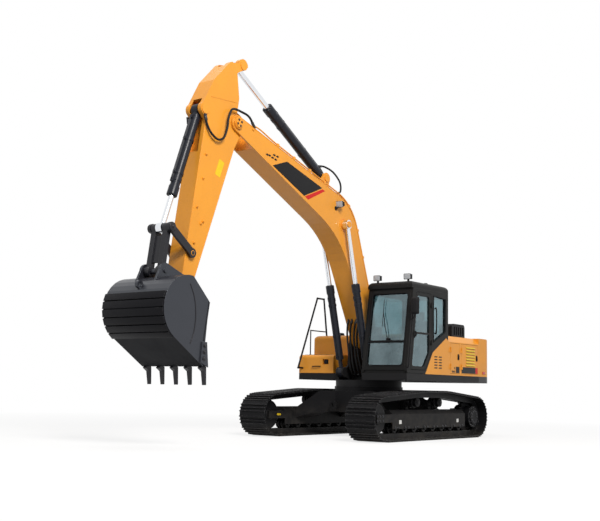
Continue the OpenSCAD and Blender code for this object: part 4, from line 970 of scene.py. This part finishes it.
def make_cylinders():
    for i, y in enumerate((295, -295)):
        cylinder_trim(f"boom_cylinder_{i + 1}", "boom_tubes", at(500, 0, 1220), on_boom(LUG_X, 0, LUG_Z),
                      length=1683, r=70, rod_r=42, neck=250, y=y, side=-1)
    cylinder_trim("arm_cylinder", "arm_tube", on_boom(3000, 0, 1340), on_arm(-1010, 0, 220),
                  length=1920, r=85, rod_r=50, neck=170)
    cylinder_trim("bucket_cylinder", "bucket_tube", on_arm(190, 0, 720), on_bucket(LINK_X, 0, LINK_Z),
                  length=1560, r=75, rod_r=42, neck=115)


# Seat

SEAT_X, SEAT_Y, SEAT_Z = -150, 882, 1255
# Grooves in the cushions: share of the half width, half width and depth
GROOVE_AT, GROOVE_HALF, GROOVE_DEEP = 0.62, 0.05, 0.012
BELLOWS, BELLOWS_PITCH = 6, 45


def on_seat(x, y, z):
    """A point given in millimetres from the middle of the seat's foot."""
    return at(SEAT_X + x, SEAT_Y + y, SEAT_Z + z)


def pillow(name, p, half, crown, tilt):
    """Cushion with soft corners, a crown and two grooves, turned by a tilt."""
    def build(bm):
        bmesh.ops.create_cube(bm, size=2)
        bmesh.ops.subdivide_edges(bm, edges=bm.edges[:], cuts=9, use_grid_fill=True)
        turn = Matrix.Rotation(tilt, 3, "Y")
        for v in bm.verts:
            x, y, z = v.co
            soft = 1 - 0.10 * (abs(x) ** 4 + abs(y) ** 4) * abs(z) - 0.06 * (abs(x) * abs(y)) ** 4
            thick = half[2] * (1 - 0.25 * (x * x) ** 3 - 0.25 * (y * y) ** 3)
            thick += crown * (1 - x * x) * (1 - y * y)
            if abs(z) > 0.99:
                thick -= GROOVE_DEEP * math.exp(-((abs(y) - GROOVE_AT) / GROOVE_HALF) ** 2)
            v.co = p + turn @ Vector((x * half[0] * soft, y * half[1] * soft, z * thick))
    o = piece(name, "house", "seat_cloth", build, crease=60)
    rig.padded(o, fill=0.8)
    return o


def make_seat():
    upright = -math.pi / 2
    cushion = pillow("seat_cushion", on_seat(10, 0, 370), (0.27, 0.245, 0.06), 0.02, -0.05)
    pillow("seat_back", on_seat(-200, 0, 690), (0.29, 0.235, 0.055), 0.02, upright - 0.12)
    pillow("seat_head", on_seat(-245, 0, 1055), (0.10, 0.13, 0.04), 0.012, upright - 0.1)
    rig.replaces(cushion, "seat")

    def pedestal(bm):
        for k in range(BELLOWS):
            z = BELLOWS_PITCH * k
            top_plate(bm, (0, 0, z + 20), ((-190, 190), (-170, 170)), 50, 0.028, on_seat)
            top_plate(bm, (0, 0, z), ((-170, 170), (-150, 150)), 50, 0.045, on_seat)
        for side in SIDES:
            tube(bm, [on_seat(-240, side * 80, 930), on_seat(-250, side * 80, 1050)], 0.008)
            tube(bm, [on_seat(-100, side * 200, 20), on_seat(200, side * 200, 20)], 0.014)
    piece("seat_pedestal", "house", "cab_plastic", pedestal)


# Cab, in millimetres: its wall and roof, the edge of the door and of the pane behind it, the windscreen

CAB_Y, ROOF_Z = HOUSE_Y + 1, 2897
DOOR_EDGE = [(-24, 2698), (-24, 1572), (196, 1277), (714, 1277), (714, 1330), (514, 2698)]
REAR_PANE = [(-585, 2020), (-120, 1800), (-120, 2680), (-585, 2650)]
SCREEN_Y, SCREEN_Z, SASH_Z = (495, 1269), (1340, 2675), 1780
HANDLE_X, HANDLE_Z = 580, 1880
FRONT_RAIL = [(836, 1352, 1300), (842, 1394, 1330), (826, 1398, 1480), (712, 1398, 2240),
              (704, 1392, 2290), (700, 1356, 2310)]
REAR_RAIL = [(-180, 1352, 1985), (-180, 1392, 2000), (-180, 1394, 2420), (-180, 1352, 2440)]
# Mirror: its rim, its two arms, and the rings of its shell as growth of the rim and place
MIRROR_Y, MIRROR_Z, MIRROR_X = (1412, 1572), (2265, 2575), 764
MIRROR_ARM = [(716, 1352, 2180), (742, 1430, 2200), (752, 1490, 2300), (752, 1492, 2560)]
MIRROR_STAY = [(690, 1352, 2520), (735, 1440, 2540), (752, 1490, 2520)]
MIRROR_SHELL = (-4, 0), (0, 8), (0, 32), (-18, 58), (-40, 68)


def make_cab_trim():
    def seals(bm):
        screen = [at(screen_x(z, 3), y, z) for y, z in round_box(SCREEN_Y, SCREEN_Z, 60)]
        tube(bm, screen, 0.011, closed=True, sides=8)
        sash = [at(screen_x(SASH_Z, 4), y, SASH_Z) for y in (SCREEN_Y[0] + 10, SCREEN_Y[1] - 10)]
        tube(bm, sash, 0.014, sides=8)
        tube(bm, [at(x, CAB_Y, z) for x, z in REAR_PANE], 0.010, closed=True, sides=8)
    piece("window_seals", "house", "rubber", seals, slot="black_paint", crease=80)

    def door_seal(bm):
        tube(bm, [at(x, CAB_Y - 3, z) for x, z in DOOR_EDGE], 0.004, closed=True, sides=8)
    piece("door_seal", "cab_door", "rubber", door_seal, slot="black_paint", crease=80)

    def handle(bm):
        bend = (-2, 0), (28, 10), (30, 65), (-2, 75)
        rod(bm, at, [(HANDLE_X, CAB_Y + out, HANDLE_Z + up) for out, up in bend], 0.011, 5)
        side_plate(bm, (HANDLE_X, CAB_Y - 1, HANDLE_Z), ((-32, 32), (-30, 105)), 18, SIDE * 0.005)
    piece("cab_door_handle", "cab_door", "cab_plastic", handle, slot="black_paint")

    def rails(bm):
        rod(bm, at, FRONT_RAIL, 0.014)
        rod(bm, at, REAR_RAIL, 0.012)
    piece("cab_grab_rails", "house", "black_paint", rails, crease=80)


def make_mirror():
    def rim(grow, r):
        (near, far), (low, high) = MIRROR_Y, MIRROR_Z
        return round_box((near - grow, far + grow), (low - grow, high + grow), r)

    def shell(bm):
        rod(bm, at, MIRROR_ARM, 0.011)
        rod(bm, at, MIRROR_STAY, 0.009)
        loft(bm, [[at(MIRROR_X + ahead, y, z) for y, z in rim(grow, 36)] for grow, ahead in MIRROR_SHELL])
    piece("cab_mirror", "house", "cab_plastic", shell, slot="black_paint", crease=35)

    def face(bm):
        prism(bm, [at(MIRROR_X - 0.5, y, z) for y, z in rim(-12, 30)], AHEAD * -0.002)
    piece("cab_mirror_face", "house", "mirror_face", face, slot="tinted_glass")


def make_cab_top():
    def wiper(bm):
        arm = (905, 1830, 12), (850, 2050, 26), (770, 2330, 18)
        rod(bm, at, [(screen_x(z, out), y, z) for y, z, out in arm], 0.007, 4)
        tube(bm, [at(screen_x(z, 12), y, z) for y, z in ((772, 2060), (768, 2560))], 0.006)
        square = Vector((0.99, 0, 0.15)).normalized()
        cap(bm, at(screen_x(1822, -4), 908, 1822), square, (0.03, 0.016), (0.02, 0.026))
    piece("wiper", "house", "black_paint", wiper)

    def aerial(bm):
        lathe(bm, at(500, 1180, ROOF_Z - 1), UP, [(0.024, 0), (0.022, 0.02), (0.012, 0.045)])
        tube(bm, [at(500, 1180, 2930), at(492, 1186, 3060)], 0.004, sides=6)
        cap(bm, at(-100, 1200, ROOF_Z + 1), UP, (0.05, 0.012), (0.03, 0.03))
    piece("aerial", "house", "black_paint", aerial)

    def hatch(bm):
        top_plate(bm, (-420, 560, ROOF_Z), ((0, 680), (0, 640)), 60, 0.014)
        for y in (640, 1120):
            block(bm, at(-420, y, ROOF_Z + 11), AHEAD * 0.03, SIDE * 0.04, UP * 0.010)
    piece("roof_hatch", "house", "cab_paint", hatch, bevel=0.005)


# House, in millimetres: louvres with the profile of their hoods (out, up), latches, band, vent slots in painted shade,
# tops

LOUVRES, LOUVRE_Z, LOUVRE_PITCH = 7, 1390, 58
LOUVRE = [(-1, 32), (3, 34), (16, 8), (13, 6), (-1, 27)]
LATCH_Z, BAND_Z = 1560, (1250, 1372)
BAND_DASH = [(0, 0), (34, 0), (44, 40), (10, 40)]
BAND_DASHES_AT = (-985, 1255), (-935, 1255), (-985, 1320), (-885, 1255)
SLOTS_X, SLOTS, SLOT_Z, SLOT_PITCH, SLOT_SLANT = (-215, -385), 5, 1325, 52, 0.4
TANK_X, TANK_Y, TANK_TOP = -380, -950, 1964
STEPS_X, STEP_TOP, HOOD_TOP = (20, 130, 240, 350), 1559, 2044


def make_door_trim():
    def louvres(bm, start, end, side):
        for i in range(LOUVRES):
            z = LOUVRE_Z + LOUVRE_PITCH * i
            hood = [at(start - 8, side * (HOUSE_Y + out), z + up) for out, up in LOUVRE]
            prism(bm, hood, AHEAD * (end - start + 16) / 1000)
    piece("louvres_left", "left_rear_door", "decal_yellow", lambda bm: louvres(bm, -1800, -1440, LEFT),
          slot="amber_paint")
    piece("louvres_right", "right_door", "amber_paint", lambda bm: louvres(bm, -1780, -1380, RIGHT))

    def latch(body, name, x, side):
        def build(bm):
            base, flap = (x, side * (HOUSE_Y - 1), LATCH_Z), (x, side * (HOUSE_Y + 4), LATCH_Z)
            side_plate(bm, base, ((-32, 32), (-58, 58)), 16, SIDE * side * 0.006)
            side_plate(bm, flap, ((-20, 20), (-46, 30)), 10, SIDE * side * 0.012)
            lock = at(x, side * (HOUSE_Y + 4), LATCH_Z + 44)
            cap(bm, lock, SIDE * side, (0.009, 0.006), (0.006, 0.008), 12)
        piece(name, body, "cab_plastic", build, slot="black_paint", bevel=0.002)
    latch("left_front_door", "latch_left_front", -1110, LEFT)
    latch("left_rear_door", "latch_left_rear", -1890, LEFT)
    latch("right_door", "latch_right", -1850, RIGHT)

    def band(name, body, start, end, material):
        low, high = BAND_Z
        decal(name, body, material, at, [[(start, low), (end, low), (end, high), (start, high)]], HOUSE_Y)
    band("band_rear", "left_rear_door", -1838, -1246, "decal_black")
    band("band_rear_end", "left_rear_door", -1938, -1842, "decal_red")
    band("band_front", "left_front_door", -1154, -1010, "decal_black")
    dashes = [[(x + u, z + v) for u, v in BAND_DASH] for x, z in BAND_DASHES_AT]
    decal("band_dashes", "left_front_door", "decal_black", at, dashes, HOUSE_Y)


def make_house_trim():
    def reflectors(bm):
        for side in SIDES:
            p = (-2200, side * (HOUSE_Y - 1), 1275)
            side_plate(bm, p, ((-60, 60), (-26, 26)), 12, SIDE * side * 0.010)
    piece("rear_reflectors", "house", "reflector_red", reflectors, slot="amber_paint", bevel=0.003)

    # Dark films painted as the shade inside the cowl's vent slots
    def slots(bm):
        slot = [(u - v * SLOT_SLANT, v) for u, v in round_box((-58, 58), (-11, 11), 10)]
        for x in SLOTS_X:
            for i in range(SLOTS):
                z = SLOT_Z + SLOT_PITCH * i
                prism(bm, [at(x + u, HOUSE_Y - 0.5, z + v) for u, v in slot], SIDE * 0.002)
    piece("cowl_slot_shade", "house", "decal_black", slots, slot="amber_paint")

    def tank_top(bm):
        filler = [(0.09, 0), (0.09, 0.03), (0.075, 0.035), (0.075, 0.06), (0.06, 0.07)]
        lathe(bm, at(TANK_X, TANK_Y, TANK_TOP), UP, filler, 28)
        for t in turns(10):
            grip = at(TANK_X + 76 * math.cos(t), TANK_Y + 76 * math.sin(t), TANK_TOP + 48)
            block(bm, grip, AHEAD * 0.006, SIDE * 0.006, UP * 0.012)
        bow(bm, at(-640, -560, 1960), at(-440, -560, 1960), UP * 0.05, 0.010)
    piece("tank_cap", "house", "black_paint", tank_top)

    def treads(bm):
        for x in STEPS_X:
            top_plate(bm, (x, TANK_Y, STEP_TOP), ((-40, 40), (-330, 330)), 14, 0.004)
            for y in range(-1250, -640, 60):
                lathe(bm, at(x, y, STEP_TOP + 3), UP, [(0.012, 0), (0.010, 0.004), (0.008, 0.006)], 10)
    piece("step_treads", "house", "black_paint", treads)

    def toolbox_handle(bm):
        bow(bm, at(449, -1010, 1330), at(449, -850, 1330), AHEAD * 0.031, 0.010)
    piece("toolbox_handle", "house", "black_paint", toolbox_handle)

    def hood_trim(bm):
        bow(bm, at(-1840, -160, HOOD_TOP), at(-1840, 160, HOOD_TOP), UP * 0.041, 0.012)
        for y in (-420, -300, 300, 420):
            top_plate(bm, (-1430, y, HOOD_TOP), ((-230, 170), (-22, 22)), 20, 0.004)
    piece("hood_handle", "engine_hood", "black_paint", hood_trim)


# Bucket, from its pin, in millimetres and degrees: wear bars on its rolled back, seams of its cheeks, teeth

BARS_TO, BAR_COUNT, BAR_SHARE, BAR_HALF = -57, 6, 0.86, 630
BAR_IN, BAR_OUT = ROLL_R - 6, ROLL_R + 27
CHEEK_SEAM = [(397, -27), (300, -230), (262, -480), (290, -715), (360, -900)]
CHEEK_RIM = [(-20, -262), (75, -842)]
CUTTER_BOLTS_Z = -915, -1010, -1105
TEETH, TEETH_SPAN, TOOTH_HALF, TOOTH_X, TOOTH_Z = 5, 1148, 34.5, 140, -1120


def make_bucket_trim():
    places = [(66 - (z - CUTTER_BOLTS_Z[0]) * 0.05, z) for z in CUTTER_BOLTS_Z]
    spots = [(on_bucket(x, side * 655, z), SIDE * side, 0.022) for side in SIDES for x, z in places]
    bolts("cutter_bolts", "bucket", spots, "bucket_paint")

    def bars(bm):
        """Flat wear bars across the rolled back, from the top strip down to the floor plate."""
        pitch = (BARS_FROM - BARS_TO) / BAR_COUNT
        for i in range(BAR_COUNT):
            high = math.radians(BARS_FROM - pitch * i)
            low = math.radians(BARS_FROM - pitch * (i + BAR_SHARE))
            rim = [(BAR_IN, high), (BAR_OUT, high), (BAR_OUT, low), (BAR_IN, low)]
            points = [on_bucket(ROLL_X + r * math.cos(t), -BAR_HALF, ROLL_Z + r * math.sin(t))
                      for r, t in rim]
            prism(bm, points, SIDE * 2 * BAR_HALF / 1000)
    piece("bucket_wear_bars", "bucket", "wear_bar", bars, slot="bucket_paint", bevel=0.004)

    def cheeks(bm):
        for side in SIDES:
            tube(bm, smooth([on_bucket(x, side * 636, z) for x, z in CHEEK_SEAM]), 0.008, sides=8)
            tube(bm, [on_bucket(x, side * 637, z) for x, z in CHEEK_RIM], 0.010, sides=8)
    piece("cheek_seams", "bucket", "bucket_paint", cheeks, crease=80)

    def tooth_pins(bm):
        for i in range(TEETH):
            y = (i / (TEETH - 1) - 0.5) * TEETH_SPAN
            for side in SIDES:
                p = on_bucket(TOOTH_X, y + side * TOOTH_HALF, TOOTH_Z)
                cap(bm, p, SIDE * side, (0.016, 0.006), (0.012, 0.01), 14)
    piece("tooth_pins", "bucket", "bolt_steel", tooth_pins, slot="bucket_paint")


# Pins

def make_pin_trim():
    def pin_bolts(name, body, place, r, y, slot):
        """Four bolts round a pin, on both sides."""
        turn = [t + math.pi / 4 for t in turns(4)]
        spots = [(place(r * math.cos(t), side * y, r * math.sin(t)), SIDE * side, 0.013)
                 for side in SIDES for t in turn]
        bolts(name, body, spots, slot)
    pin_bolts("arm_pin_bolts", "arm", on_arm, r=52, y=250, slot="amber_paint")
    pin_bolts("foot_pin_bolts", "house", on_foot, r=60, y=263, slot="frame_black")

    def guide_caps(bm):
        side_caps(bm, on_arm, (2470, 226, 120), (0.030, 0.006), (0.02, 0.012), 24)
    piece("guide_pin_caps", "arm", "bolt_steel", guide_caps, slot="bucket_paint")

    def link_caps(bm):
        side_caps(bm, on_bucket, (LINK_X, 222, LINK_Z), (0.068, 0.016), (0.056, 0.024), 32)
        for side in SIDES:
            bolt(bm, on_bucket(LINK_X, side * 245, LINK_Z), SIDE * side, 0.016)
    piece("link_pin_caps", "guide_links", "bucket_paint", link_caps)


# Undercarriage, from the swing axis, in millimetres: axles, side of the track frames, rollers

AXLE_X, AXLE_Z, FRAME_Y = 1725, 400, 1355
ROLLERS_FROM, ROLLERS_TO, ROLLER_COUNT, ROLLER_Z = -1230, 1165, 8, 238
CARRIERS_X, CARRIER_Y, CARRIER_Z = (350, -480), 1304, 680
# Bolt circles of the final drive: radius, side and bolt radius
DRIVE_CIRCLES, DRIVE_BOLTS = ((112, 1390, 0.013), (180, 1365, 0.011)), 12
FRAME_BOLT_R = 0.014
LABELS_X, LABELS_Z = (1046, -1089), 335


def make_undercarriage_trim():
    pitch = (ROLLERS_TO - ROLLERS_FROM) / (ROLLER_COUNT - 1)
    on_frame = [(ROLLERS_FROM + pitch * i + dx, ROLLER_Z) for i in range(ROLLER_COUNT) for dx in (-55, 55)]
    on_frame += [(AXLE_X + dx, AXLE_Z + dz) for dx in (-95, -10, 75) for dz in (-40, 40)]
    spots = []
    for side in SIDES:
        axis = SIDE * side
        spots += [(at(-AXLE_X + r * math.cos(t), side * y, AXLE_Z + r * math.sin(t)), axis, size)
                  for t in turns(DRIVE_BOLTS) for r, y, size in DRIVE_CIRCLES]
        spots += [(at(x, side * FRAME_Y, z), axis, FRAME_BOLT_R) for x, z in on_frame]
    bolts("undercarriage_bolts", "undercarriage", spots, "track_steel")

    def labels(bm):
        for x in LABELS_X:
            side_plate(bm, (x, FRAME_Y, LABELS_Z), ((-42, 42), (-34, 34)), 8, SIDE * FILM)
    piece("frame_labels", "undercarriage", "label_white", labels, slot="frame_black")

    def grease_cover(bm):
        side_plate(bm, (1508, -1026, AXLE_Z), ((-60, 60), (-16, 16)), 10, SIDE * 0.006)
        cap(bm, at(1550, -1021, AXLE_Z), SIDE, (0.02, 0.014), (0.012, 0.02), 16)
    piece("grease_cover", "undercarriage", "decal_yellow", grease_cover, slot="frame_black")

    def roller_caps(bm):
        for x in CARRIERS_X:
            side_caps(bm, at, (x, CARRIER_Y, CARRIER_Z), (0.052, 0.012), (0.04, 0.02), 24)
    piece("roller_caps", "undercarriage", "track_steel", roller_caps)


# The whole scene

make_hoses()
make_boom_trim()
make_arm_trim()
make_gear_films()
make_lamps()
make_cylinders()
make_seat()
make_cab_trim()
make_mirror()
make_cab_top()
make_door_trim()
make_house_trim()
make_bucket_trim()
make_pin_trim()
make_undercarriage_trim()

bpy.context.view_layer.update()
VISUAL_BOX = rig.bounds()
with open("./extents.json", "w") as f:
    json.dump({"cad": [list(v) for v in CAD_BOX], "visual": [list(v) for v in VISUAL_BOX]}, f)
